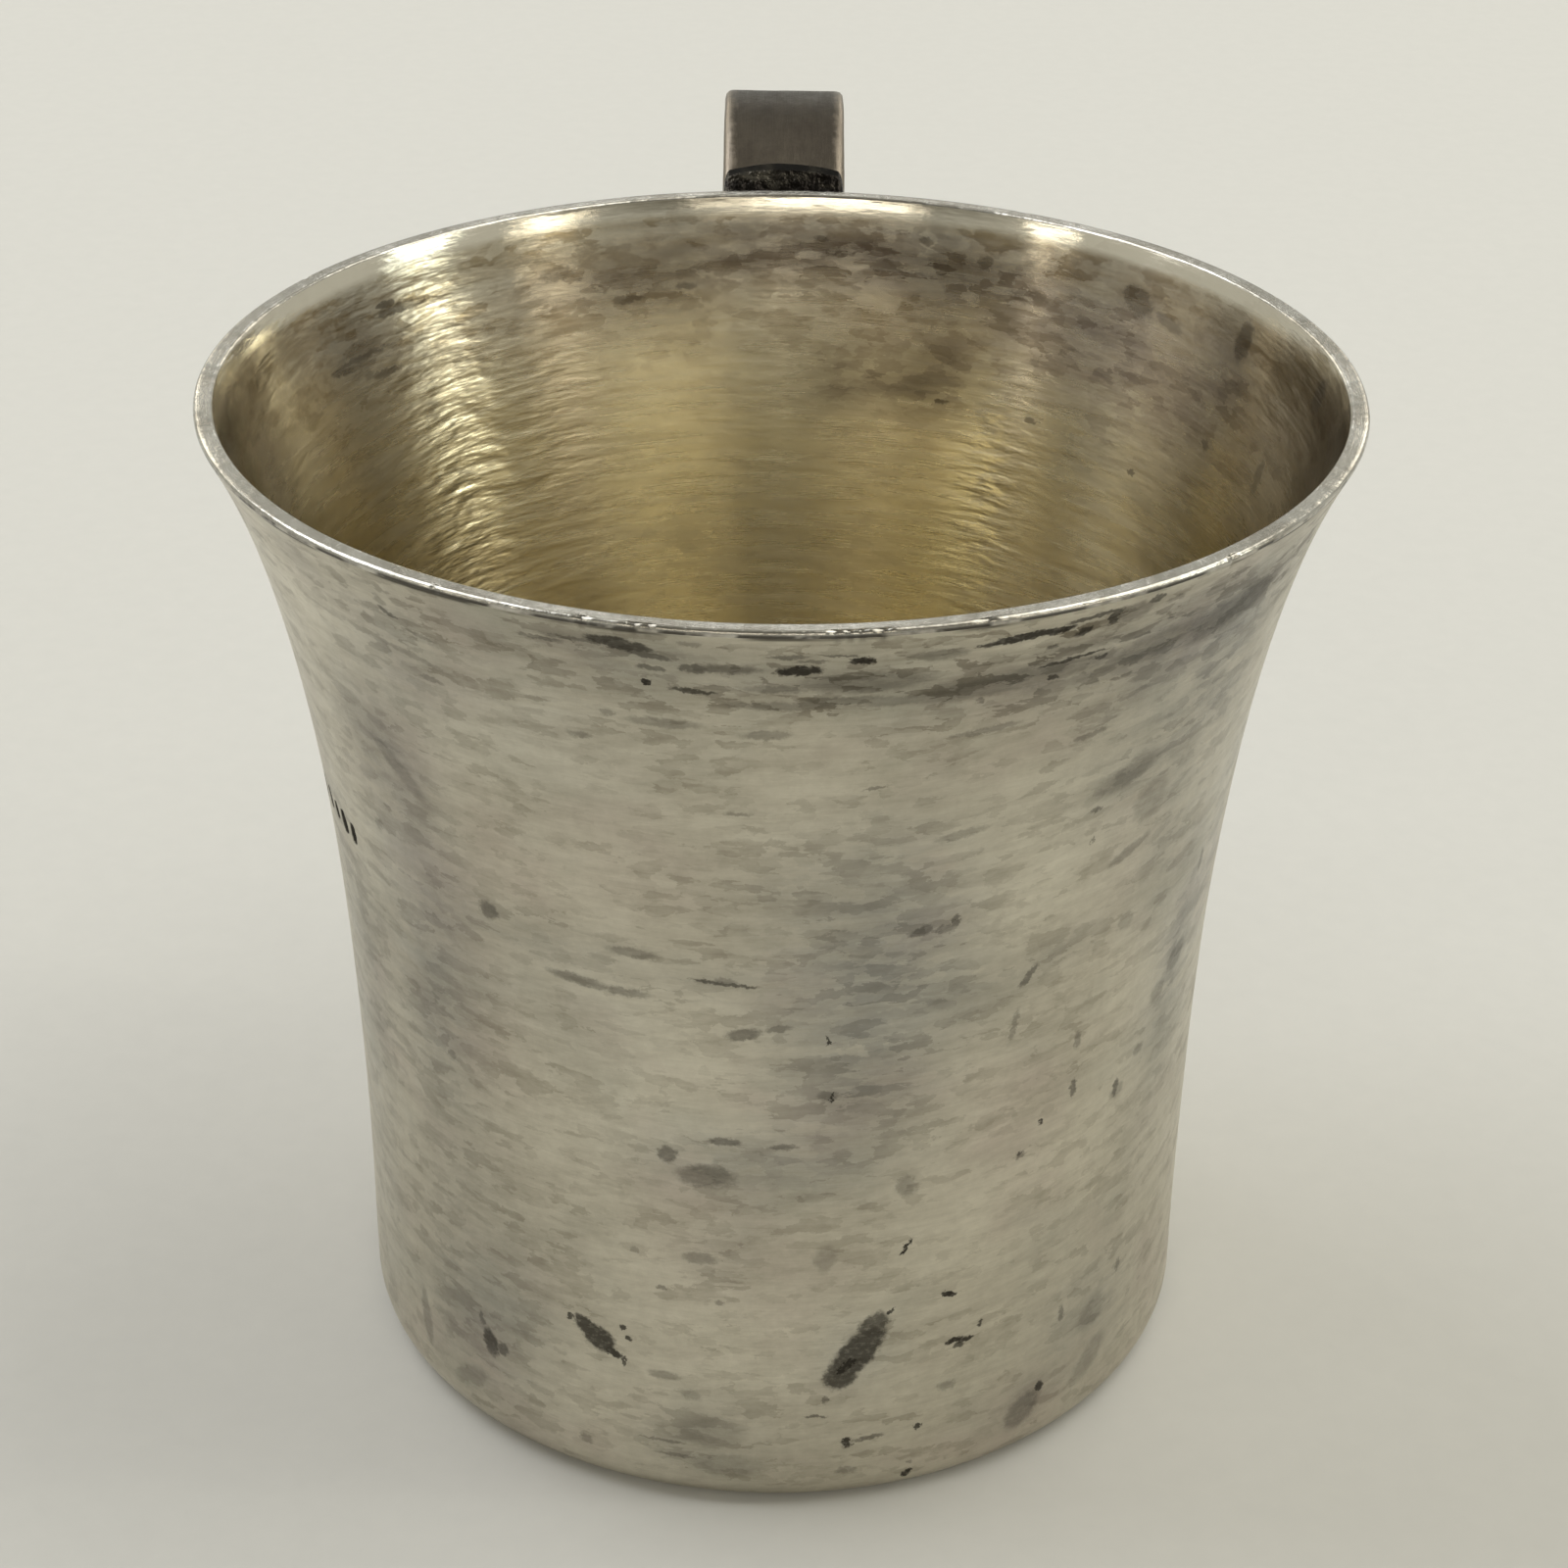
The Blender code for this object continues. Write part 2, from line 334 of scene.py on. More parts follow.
def made_by(tree, values, data, name):
    """A plain mesh object that a Geometry Nodes tree makes from this data with these values for its named
    inputs."""
    source = placed(name + "_source", data)
    nodes = source.modifiers.new("shape", "NODES")
    nodes.node_group = tree
    for item in tree.interface.items_tree:
        if item.in_out == "INPUT" and item.name in values:
            nodes[item.identifier] = values[item.name]
    bpy.context.view_layer.update()
    graph = bpy.context.evaluated_depsgraph_get()
    mesh = bpy.data.meshes.new_from_object(source.evaluated_get(graph), depsgraph=graph)
    mesh.name = name
    bpy.data.objects.remove(source)
    while mesh.materials and mesh.materials[0] is None:
        mesh.materials.pop(index=0)
    return placed(name, mesh)


# Relief that is cut into the body

# Engraved strokes stand where the side has its inscription: a row of shallow slanted strokes that aren't
# letters
STROKE_HEIGHT_ON_CUP = 0.0450
STROKE_LAST_ANGLE = -62.0
STROKE_COUNT = 12
STROKE_LEAN = math.radians(-5)
STROKE_SEED = 7


def stroke_row(height, depth, pitch, width):
    """Engraved strokes as (middle, half length, lean, half width, depth) in millimetres round the cup and
    up it."""
    draw = random.Random(STROKE_SEED)
    strokes = []
    for number in range(STROKE_COUNT):
        around = arc(STROKE_LAST_ANGLE) - number * pitch * MM
        tall = height * MM * draw.uniform(0.8, 1.35)
        lift = draw.uniform(-0.15, 0.15)
        lean = STROKE_LEAN + draw.uniform(-0.25, 0.25)
        middle = Vector((around, STROKE_HEIGHT_ON_CUP * MM + lift))
        strokes.append((middle, tall / 2, lean, width * MM / 2 * draw.uniform(0.8, 1.2), depth))
    return strokes


# Nicks in the lip's outer edge: angle in degrees, half width and depth in millimetres
LIP_NICKS = [
    (-12.3, 0.45, 0.16), (-11.1, 0.3, 0.14), (4.9, 0.4, 0.18), (6, 0.35, 0.22), (7, 0.3, 0.16),
    (8.8, 0.4, 0.18), (17.8, 0.45, 0.16), (-16.9, 0.35, 0.14), (44, 0.35, 0.2), (-31, 0.25, 0.1),
    (96, 0.3, 0.12), (152, 0.4, 0.14), (-118, 0.35, 0.12),
]

# Shallow dents and bruises of the side: angle, height, half width, half height and depth, in degrees and
# millimetres
DENTS = [
    (10.8, 13.1, 2.6, 2.2, 0.06), (-22.5, 12.6, 1.7, 1.3, 0.07), (24, 70, 2.8, 0.6, 0.1),
    (31, 70.3, 1.5, 0.6, 0.08), (-49, 52, 8, 7, 0.1), (-36, 35, 10, 9, 0.1), (58, 33, 7, 6, 0.1),
    (132, 30, 7, 8, 0.12), (-134, 48, 6, 5, 0.12),
]

# Faces are cut finer this far round the cup and up it from the strokes, and this far down from the rim, in
# millimetres, each into one part more than its cuts
STROKE_ROOM_ROUND = 1.2
STROKE_ROOM_UP = 1.6
NICK_REACH_DOWN = 1.1
STROKE_CUTS = 7
NICK_CUTS = 3

# They are cut finer this many degrees beside a nick too, and for these shares of the profile below and past
# the lip's outer round
NICK_ROOM = 0.7
NICK_SHARES = (0.004, 0.001)

# How much a stroke narrows towards its ends, over which share of its half length it fades out, and at which
# share of its depth the dark fill is whole
STROKE_TAPER = 0.30
STROKE_FADE = 0.3
STROKE_FILL = 0.15

# A nick is whole this far below the rim, in millimetres, goes in and down by these shares of its depth, and
# is filled with this much grime
NICK_WHOLE_BELOW = 0.35
NICK_INWARDS = 0.8
NICK_DOWNWARDS = 0.5
NICK_FILL = 0.6

# Broad patches of tone, tarnish and painted light, in the marks' terms: angle, height, half width, half
# height, turn and strength. Outside, the dim ones are partly tarnish and partly painted shade for darker
# reflections.
OUTSIDE_TARNISH_AND_PAINTED_SHADE = [
    (12, 45, 6.5, 7.5, -10, 0.62), (11, 36, 5.5, 6.5, 0, 0.6), (0, 29, 8, 2.6, 0, 0.46),
    (5, 51, 6.5, 3, 0, 0.28), (-6, 44, 5, 1.2, 0, 0.4), (-47, 55, 4.2, 5, 20, 0.5),
    (-43, 46, 3.6, 7.5, 0, 0.34), (-46, 36, 3.8, 8, 0, 0.42), (-30, 45, 9, 1.6, 0, 0.34),
    (-39, 65, 2.8, 4.5, 0, 0.4), (41, 56, 3.8, 2.4, 10, 0.44), (50, 51, 3, 6, 0, 0.36),
    (60, 36, 2.2, 6.5, -6, 0.5), (52, 44, 2.6, 4, 0, 0.26), (34, 43, 5, 1.7, 12, 0.36),
    (22, 42, 3.4, 2.2, 0, 0.32), (-46, 9, 5, 5, 0, 0.4), (49, 8, 4.6, 4.4, 0, 0.36),
    (-13, 4, 3.4, 3, 0, 0.32), (-8, 7, 4, 3, 0, 0.28), (10, 56, 6.5, 4, 0, 0.22), (45, 67, 7, 2.6, 8, 0.6),
    (52, 60, 4.5, 4, 0, 0.42), (28, 67, 6, 2, 0, 0.36), (-11, 68.5, 6, 2, 0, 0.34),
    (4, 67.8, 9, 2.2, 0, 0.4), (35, 5, 3.2, 2.4, 25, 0.3), (-7, 21, 2.6, 2.2, 0, 0.26),
    (-62, 32, 3, 12, 0, 0.3), (-36, 12, 3, 3, 0, 0.22), (70, 45, 3, 9, 0, 0.3), (38, 62, 3, 2.6, 0, 0.26),
    (110, 40, 9, 8, 0, 0.4), (135, 58, 8, 6, 0, 0.45), (-100, 30, 9, 7, 0, 0.4), (-140, 50, 9, 8, 0, 0.45),
    (160, 25, 8, 9, 0, 0.45), (-165, 66, 8, 4, 0, 0.6), (168, 67, 8, 4, 0, 0.6), (-120, 62, 7, 5, 0, 0.34),
    (180, 20, 7, 5, 0, 0.6), (90, 62, 7, 4, 0, 0.36), (100, 12, 7, 4, 0, 0.3), (-90, 55, 6, 6, 0, 0.28),
    (49, 62, 9, 7.5, 0, 0.62), (36, 67, 8, 3, 6, 0.4), (20, 66, 7, 2.5, 0, 0.25), (-18, 70, 7, 1.6, 0, 0.3),
]
# Outside, the pale ones are partly paler metal and partly painted light for lighter reflections
OUTSIDE_PALE_METAL_AND_PAINTED_LIGHT = [
    (31, 49, 6, 7.5, 8, 0.66), (23, 33, 5, 6.5, 0, 0.52), (26, 22, 8, 5.5, 0, 0.5), (-3, 15, 5, 5, 0, 0.66),
    (-30, 33, 6, 7.5, 0, 0.6), (-25, 53, 6, 4, 0, 0.42), (-32, 59, 4.6, 5, 0, 0.5),
    (-20, 61, 7, 3.6, 0, 0.34), (-24, 20, 6, 5, 0, 0.46), (-25, 7, 5, 4, 0, 0.42), (0, 60, 13, 3.6, 0, 0.3),
    (38, 25, 5.6, 5, 0, 0.44), (20, 8, 6, 4, 0, 0.4), (45, 34, 4, 6, 0, 0.34), (-56, 66, 3, 5, 0, 0.6),
    (64, 20, 4, 9, 0, 0.4), (-60, 20, 4, 8, 0, 0.3), (-16, 35, 4, 6, 0, 0.28), (66, 60, 3, 8, 0, 0.36),
    (-72, 60, 4, 8, 0, 0.4), (120, 22, 8, 7, 0, 0.45), (95, 48, 7, 5, 0, 0.4), (-115, 45, 7, 6, 0, 0.45),
    (-85, 20, 6, 7, 0, 0.4), (-150, 18, 8, 8, 0, 0.4), (150, 44, 7, 6, 0, 0.4), (-37, 52, 8, 8, 0, 0.3),
    (-30, 40, 6, 6, 0, 0.3), (35, 44, 9, 9, 0, 0.36), (40, 22, 6, 6, 0, 0.25), (30, 12, 6, 6, 0, 0.3),
    (-12, 10, 6, 4, 0, 0.25),
]
OUTSIDE_COOL = [
    (12, 44, 7, 9, -10, 0.9), (-5, 30, 8, 3, 0, 0.5), (-48, 44, 6, 20, 0, 0.6), (-26, 40, 7, 6, 0, 0.4),
    (-30, 62, 10, 6, 0, 0.55), (62, 40, 6, 20, 0, 0.6), (38, 52, 6, 8, 0, 0.35), (-40, 12, 6, 8, 0, 0.5),
    (45, 10, 6, 6, 0, 0.35), (48, 66, 8, 4, 0, 0.6), (-70, 30, 5, 30, 0, 0.6), (10, 13, 3, 3, 0, 0.5),
    (115, 35, 12, 12, 0, 0.6), (-120, 40, 12, 12, 0, 0.6), (170, 55, 12, 12, 0, 0.5),
]
OUTSIDE_ROSY = [
    (-44, 46, 4, 8, 20, 0.75), (-37, 37, 4, 5, 0, 0.55), (-47, 56, 4, 4, 20, 0.5),
    (17, 47.5, 2.6, 1.6, 20, 0.85), (30, 30, 6, 8, 0, 0.4), (-8, 22, 6, 4, 0, 0.35), (6, 33, 4, 4, 0, 0.45),
    (-20, 52, 6, 4, 0, 0.35), (42, 66, 7, 3, 0, 0.5), (35, 4, 4, 3, 0, 0.7), (-42, 8, 3, 3, 0, 0.6),
    (44, 47, 4, 5, 0, 0.35), (140, 20, 9, 8, 0, 0.4), (-150, 35, 9, 8, 0, 0.4), (-100, 60, 7, 5, 0, 0.35),
]
INSIDE_COOL = [
    (-112, 68.5, 7, 3, 0, 0.9), (-126, 69.5, 3, 1.8, 0, 0.8), (166, 68, 9, 2.6, 0, 0.6),
    (145, 66, 6, 3, 0, 0.4), (-170, 69, 8, 2, 0, 0.35),
]
INSIDE_ROSY = [
    (148, 64, 14, 5, 0, 0.8), (120, 63, 8, 7, 0, 0.6), (175, 67, 8, 3, 0, 0.5), (-150, 58, 3, 10, 0, 0.45),
    (-160, 66, 8, 3, 0, 0.45), (160, 56, 8, 5, 0, 0.35),
]
# Inside, the dim ones are painted shade: dark reflections between the windows' glints
INSIDE_PAINTED_DARK_REFLECTIONS = [
    (166, 44, 5.5, 10, 0, 0.26), (-162, 46, 4.5, 10, 0, 0.18), (137, 70, 6, 1.5, 0, 0.3),
    (146, 64, 15, 5, 0, 0.42), (118, 63, 9, 8, 0, 0.3), (165, 60, 9, 3, 0, 0.3), (-156, 67, 9, 3, 0, 0.42),
    (176, 69, 9, 1.8, 0, 0.45), (-133, 64.5, 9, 1.6, 0, 0.3), (166, 68, 9, 2.2, 0, 0.9),
    (150, 67, 5, 2.6, 0, 0.55), (135, 65.5, 4.5, 3.5, 15, 0.75), (116, 66, 4, 3.5, 0, 0.7),
    (98, 62, 4.5, 8, 0, 0.45), (-176, 67.5, 7, 1.8, 0, 0.55), (-160, 66, 5, 2, 0, 0.45),
    (172, 58, 4.5, 2.2, 0, 0.4), (160, 59, 4, 2, 0, 0.34), (135, 57, 5, 4, 0, 0.34),
    (-121, 66.5, 4, 1.8, 0, 0.6), (-120, 58, 4, 6, 0, 0.24), (-170, 45, 7, 6, 0, 0.2),
    (20, 40, 12, 10, 0, 0.3), (-30, 50, 12, 10, 0, 0.25), (-92, 63, 3, 6, 0, 0.34),
]
# Inside, the pale ones are painted highlights: the windows' tall glints and streaks, and the glint along the
# rim
INSIDE_PAINTED_HIGHLIGHTS = [
    (-176, 46, 5, 11, 0, 0.7), (180, 60, 5, 4, 0, 0.3), (-97, 58, 6, 12, 0, 0.75), (-116, 46, 8, 8, 0, 0.4),
    (112, 44, 9, 8, 0, 0.4), (-134, 69, 5, 3, 0, 0.7), (-151, 69.5, 5, 2.4, 0, 0.6),
    (172, 71.6, 15, 0.9, 0, 0.9), (146, 71.4, 6, 1, 0, 0.9), (-132, 52, 3.5, 13, 0, 0.7),
    (-110, 58, 8, 9, 0, 0.55), (98, 50, 9, 9, 0, 0.5), (128, 50, 9, 6, 0, 0.35), (-140, 50, 9, 7, 0, 0.3),
    (-172, 58, 6, 3, 0, 0.3), (180, 65, 6, 1.8, 0, 0.4), (151, 53, 2.6, 8, 0, 0.55),
    (-150, 62, 5, 4, 0, 0.34), (-108, 62, 4, 6, 0, 0.34), (-100, 66, 4, 4, 0, 0.4), (150, 62, 3, 3, 0, 0.4),
    (120, 50, 5, 4, 0, 0.2), (0, 60, 12, 6, 0, 0.3), (60, 45, 12, 8, 0, 0.25), (-155, 48, 5, 5, 0, 0.25),
]

# Where turning and brushing marks stand out most
INSIDE_RIDGED = [(-133, 54, 5, 13, 0, 0.95), (151, 50, 3.5, 9, 0, 0.6), (-148, 56, 4, 8, 0, 0.45)]

# Each kind of patch, with its places outside and inside
PATCHES = [
    ("dim", OUTSIDE_TARNISH_AND_PAINTED_SHADE, INSIDE_PAINTED_DARK_REFLECTIONS), ("pale", OUTSIDE_PALE_METAL_AND_PAINTED_LIGHT, INSIDE_PAINTED_HIGHLIGHTS),
    ("cool", OUTSIDE_COOL, INSIDE_COOL), ("rosy", OUTSIDE_ROSY, INSIDE_ROSY), ("ridged", (), INSIDE_RIDGED),
]


def patches(around, up, zones):
    """How strongly broad patches, which fade softly outwards, cover each point."""
    left = np.ones_like(up)
    for angle, height, half_wide, half_high, turn, strength in zones:
        # A distance round the cup is measured the short way
        off = around - arc(angle)
        full = math.tau * MEAN_RADIUS * MM
        off = (off + full / 2) % full - full / 2
        lean = math.radians(turn)
        wide = (off * math.cos(lean) + (up - height) * math.sin(lean)) / half_wide
        high = ((up - height) * math.cos(lean) - off * math.sin(lean)) / half_high
        left *= 1.0 - strength * np.exp(-(wide * wide + high * high))
    return 1.0 - left


def lay_patches(cup):
    """Stores the broad patches of the outside and the inside on the body's points."""
    count = len(cup.data.vertices)
    places = np.empty(count * 3)
    cup.data.vertices.foreach_get("co", places)
    x, y, z = places.reshape(-1, 3).T
    share = np.empty(count)
    cup.data.attributes["share"].data.foreach_get("value", share)
    outside = share < (DISTANCES[LIP_FIRST] + DISTANCES[LIP_LAST]) / 2 / PROFILE_LENGTH
    around = np.arctan2(x, -y) * MEAN_RADIUS * MM
    up = z * MM
    for name, out_zones, in_zones in PATCHES:
        values = np.where(outside, patches(around, up, out_zones), patches(around, up, in_zones))
        cup.data.attributes.new(name, "FLOAT", "POINT").data.foreach_set("value", values.astype(np.float32))


def cut_relief(cup, sizes):
    """Cuts the strokes, nicks and dents into the outer face, with finer faces where they need them."""
    strokes = stroke_row(sizes.stroke_height, sizes.stroke_depth, sizes.stroke_pitch, sizes.stroke_width)
    row_height = STROKE_HEIGHT_ON_CUP * MM
    rim = CUP_HEIGHT * MM
    first = min(middle.x for middle, *_ in strokes) - STROKE_ROOM_ROUND
    last = max(middle.x for middle, *_ in strokes) + STROKE_ROOM_ROUND
    shape = bmesh.new()
    shape.from_mesh(cup.data)
    share = shape.verts.layers.float["share"]
    outside_share = DISTANCES[LIP_FIRST] / PROFILE_LENGTH
    top_share = DISTANCES[LIP_FIRST + LIP_ARC_ROWS] / PROFILE_LENGTH

    def where(point):
        around = math.atan2(point.x, -point.y)
        return around * MEAN_RADIUS * MM, point.z * MM

    def in_row(around, up):
        return first < around < last and abs(up - row_height) < STROKE_ROOM_UP

    def has_stroke(face):
        return in_row(*where(face.calc_center_median())) and face.verts[0][share] < outside_share

    def has_nick(face):
        centre = face.calc_center_median()
        below, above = NICK_SHARES
        if centre.z < CUP_HEIGHT - NICK_REACH_DOWN / MM:
            return False
        if not outside_share - below < face.verts[0][share] < top_share + above:
            return False
        around = math.degrees(math.atan2(centre.x, -centre.y))
        return any(abs(around - angle) < math.degrees(half / MM / RIM_RADIUS) * 2 + NICK_ROOM
                   for angle, half, _ in LIP_NICKS)

    for wanted, cuts in ((has_stroke, STROKE_CUTS), (has_nick, NICK_CUTS)):
        edges = {edge for face in shape.faces if wanted(face) for edge in face.edges}
        bmesh.ops.subdivide_edges(shape, edges=list(edges), cuts=cuts, use_grid_fill=True)

    grime = shape.verts.layers.float.new("grime")
    for vert in shape.verts:
        if vert[share] > top_share or vert.co.z < BOTTOM_ROUND:
            continue
        around, up = where(vert.co)
        outwards = Vector((vert.co.x, vert.co.y, 0.0)).normalized()
        if vert[share] <= outside_share and in_row(around, up):
            for middle, half, lean, width, depth in strokes:
                offset = Vector((around, up)) - middle
                along = offset.x * math.sin(lean) + offset.y * math.cos(lean)
                across = offset.x * math.cos(lean) - offset.y * math.sin(lean)
                narrowed = width * (1.0 - STROKE_TAPER * abs(along) / half) if abs(along) < half else 0.0
                if abs(across) < narrowed:
                    faded = smoothstep(0.0, half * STROKE_FADE, half - abs(along))
                    fall = (1 - abs(across) / narrowed) * faded
                    vert.co -= outwards * depth * fall
                    vert[grime] = max(vert[grime], smoothstep(0.0, STROKE_FILL, fall))
        if up > rim - NICK_REACH_DOWN:
            edge = smoothstep(rim - NICK_REACH_DOWN, rim - NICK_WHOLE_BELOW, up)
            inwards = outwards * NICK_INWARDS + Vector((0.0, 0.0, NICK_DOWNWARDS))
            for angle, half, depth in LIP_NICKS:
                off = abs(around - arc(angle)) / half
                if off < 1.0:
                    fall = (1 - off * off) * edge
                    vert.co -= inwards * (depth / MM * fall)
                    vert[grime] = max(vert[grime], NICK_FILL * smoothstep(0.75, 0.2, off) * edge)
        for angle, height, half_wide, half_high, depth in DENTS:
            wide = (around - arc(angle)) / half_wide
            high = (up - height) / half_high
            off = wide * wide + high * high
            if off < 1.0:
                vert.co -= outwards * (depth / MM * (1 - off) ** 2)
    bmesh.ops.recalc_face_normals(shape, faces=shape.faces)
    shape.to_mesh(cup.data)
    shape.free()


# Finishes

# Dark marks of the outside: angle in degrees, height, half length and half height in millimetres, turn in
# degrees (rising towards +X), and strength from 0 to 1
UNDER_RIM_MARKS = [
    (-13.9, 70.3, 1.9, 0.5, -8, 0.8), (-11.2, 69.6, 1.3, 0.3, -8, 0.6), (-15.2, 70.5, 0.6, 0.4, 10, 0.7),
    (-11.3, 68.6, 0.8, 0.25, -6, 0.55), (-11.9, 67.4, 0.28, 0.24, 0, 0.95), (-17.8, 70.2, 2.2, 0.2, 0, 0.4),
    (-7.6, 70.8, 0.7, 0.25, 0, 0.35), (-4.7, 68.9, 2.2, 0.42, 0, 0.42), (-7.4, 68.8, 0.8, 0.42, 0, 0.6),
    (-7.8, 67, 1.3, 0.22, -5, 0.75), (-16.1, 64.5, 0.6, 0.28, 0, 0.35), (-19.5, 62.4, 0.8, 0.3, 0, 0.35),
    (1.9, 68.9, 1.25, 0.4, 3, 0.92), (7.3, 69.6, 0.75, 0.3, 0, 0.95), (5.2, 70.1, 1.2, 0.12, -6, 0.55),
    (0.8, 70, 1.2, 0.2, 0, 0.5), (2.9, 69.6, 1, 0.15, 0, 0.4), (7.7, 67.8, 4.2, 0.9, 0, 0.34),
    (6.1, 66.4, 3, 0.38, 0, 0.34), (0.4, 66, 3.5, 0.4, 0, 0.32), (0.6, 67.4, 3, 0.3, 0, 0.28),
    (-1.1, 63.7, 1.6, 0.4, 0, 0.36), (-11, 64.2, 2.5, 0.4, 0, 0.3), (14, 69.6, 1.8, 0.45, 0, 0.36),
    (12.5, 66.2, 3.4, 0.4, 4, 0.3), (9.8, 59.3, 0.9, 0.16, 8, 0.42), (-3.9, 57.4, 0.9, 0.16, 0, 0.3),
    (-21.4, 69.8, 1.5, 0.22, 0, 0.45),
]
SCAR_MARKS = [
    (21.9, 70.1, 2.2, 0.36, 3, 0.95), (25.3, 70.1, 0.9, 0.34, 6, 0.95), (27.9, 69.6, 0.5, 0.42, 20, 0.85),
    (19.3, 69.9, 1.3, 0.15, 0, 0.85), (28.5, 70.7, 1.8, 0.2, 4, 0.75), (30.9, 70.2, 0.35, 0.7, -15, 0.8),
    (33.1, 70.2, 1.5, 0.8, 0, 0.42), (35, 70.8, 0.5, 0.4, 10, 0.7), (37.7, 70.2, 0.7, 0.28, 0, 0.4),
    (27.7, 67.4, 2.4, 0.12, 4, 0.85), (31.1, 67, 0.5, 0.2, 0, 0.75), (26.2, 66.2, 0.45, 0.25, 0, 0.85),
    (25, 68.8, 0.4, 0.2, 0, 0.55), (19, 65.4, 0.25, 0.28, 0, 0.45), (22.1, 66.5, 7, 0.9, 3, 0.34),
    (49.4, 66.6, 4.6, 1.6, 6, 0.46), (48, 66.1, 1.6, 0.8, 10, 0.5), (39.1, 66.8, 4, 1, 5, 0.34),
    (33, 60.5, 1.6, 0.25, 6, 0.35), (20.3, 62.9, 2.5, 0.28, 4, 0.34),
]
RIGHT_SIDE_MARKS = [
    (40.1, 55.9, 3, 1.1, 14, 0.3), (45.4, 52.8, 1.8, 2, 0, 0.26), (36.4, 53.9, 0.5, 0.25, 0, 0.55),
    (36.9, 51.5, 0.15, 0.4, 0, 0.45), (43.8, 49.2, 2.4, 0.5, 16, 0.34), (19.6, 54.8, 2, 0.35, 8, 0.3),
    (19, 47.4, 0.8, 0.4, 0, 0.42), (45.6, 43, 1, 0.8, 0, 0.26), (63.5, 43.1, 0.35, 1.1, 0, 0.34),
    (60.9, 36, 1.6, 1.2, 20, 0.4), (56.7, 34.3, 1.2, 0.9, 0, 0.34), (49.1, 28.2, 0.9, 0.6, 0, 0.36),
    (53.4, 30.5, 0.8, 0.5, 0, 0.36), (32.2, 26.9, 0.5, 0.35, 0, 0.42), (6.3, 34.9, 0.9, 0.45, 0, 0.3),
    (-5.7, 44.1, 0.8, 0.35, 0, 0.34), (53.7, 11.8, 0.35, 0.7, -10, 0.4), (41.7, 11.1, 0.35, 0.7, 0, 0.5),
]
MIDDLE_MARKS = [
    (16.1, 47.5, 0.9, 0.4, 15, 0.5), (20.1, 47.9, 0.3, 0.55, 0, 0.55), (30.7, 41.9, 1.1, 0.35, 50, 0.55),
    (29.4, 38.2, 0.3, 1.4, -8, 0.34), (39.9, 34.8, 0.35, 0.9, 0, 0.4), (40.1, 30.7, 0.35, 0.8, 0, 0.62),
    (48.8, 28.5, 0.35, 0.8, 0, 0.7), (35.1, 29, 0.2, 0.3, 0, 0.95), (32.1, 27, 0.22, 0.26, 0, 0.8),
    (16.5, 26.8, 0.9, 1, 30, 0.34), (6.1, 39.4, 0.14, 0.4, 0, 0.85), (6.7, 34.8, 0.12, 0.55, 0, 0.9),
    (-5.7, 43.9, 2.4, 0.16, -4, 0.66), (-3.6, 39.9, 1.3, 0.55, 8, 0.52), (0.4, 40.4, 1, 0.3, 10, 0.4),
    (-13.1, 29.6, 0.8, 0.7, 30, 0.55), (-5.9, 31.1, 1.3, 0.35, 0, 0.52), (1.2, 30.8, 1.1, 0.25, 0, 0.4),
    (-8.3, 28.1, 2.4, 1, 0, 0.42), (-23.2, 42.5, 2.6, 0.45, -4, 0.42), (-17.1, 42.3, 1.7, 0.4, 0, 0.42),
    (-16.2, 45.6, 2, 0.45, 0, 0.36),
]
LEFT_SIDE_MARKS = [
    (-38.7, 68.3, 0.7, 0.25, -25, 0.6), (-39.1, 69.2, 0.45, 0.5, 0, 0.34), (-34.5, 46, 0.9, 0.7, 0, 0.52),
    (-52.9, 48.3, 0.6, 0.5, 0, 0.28), (-50.1, 50.3, 0.5, 0.3, 0, 0.3), (-35.4, 67.2, 1.3, 0.22, -6, 0.32),
    (-37.6, 65.2, 2.6, 0.25, -8, 0.3), (-35.8, 63.7, 1, 0.24, 0, 0.36), (-45.4, 54.4, 3.2, 0.9, -40, 0.26),
    (-44.3, 32, 0.5, 0.4, 0, 0.36),
]
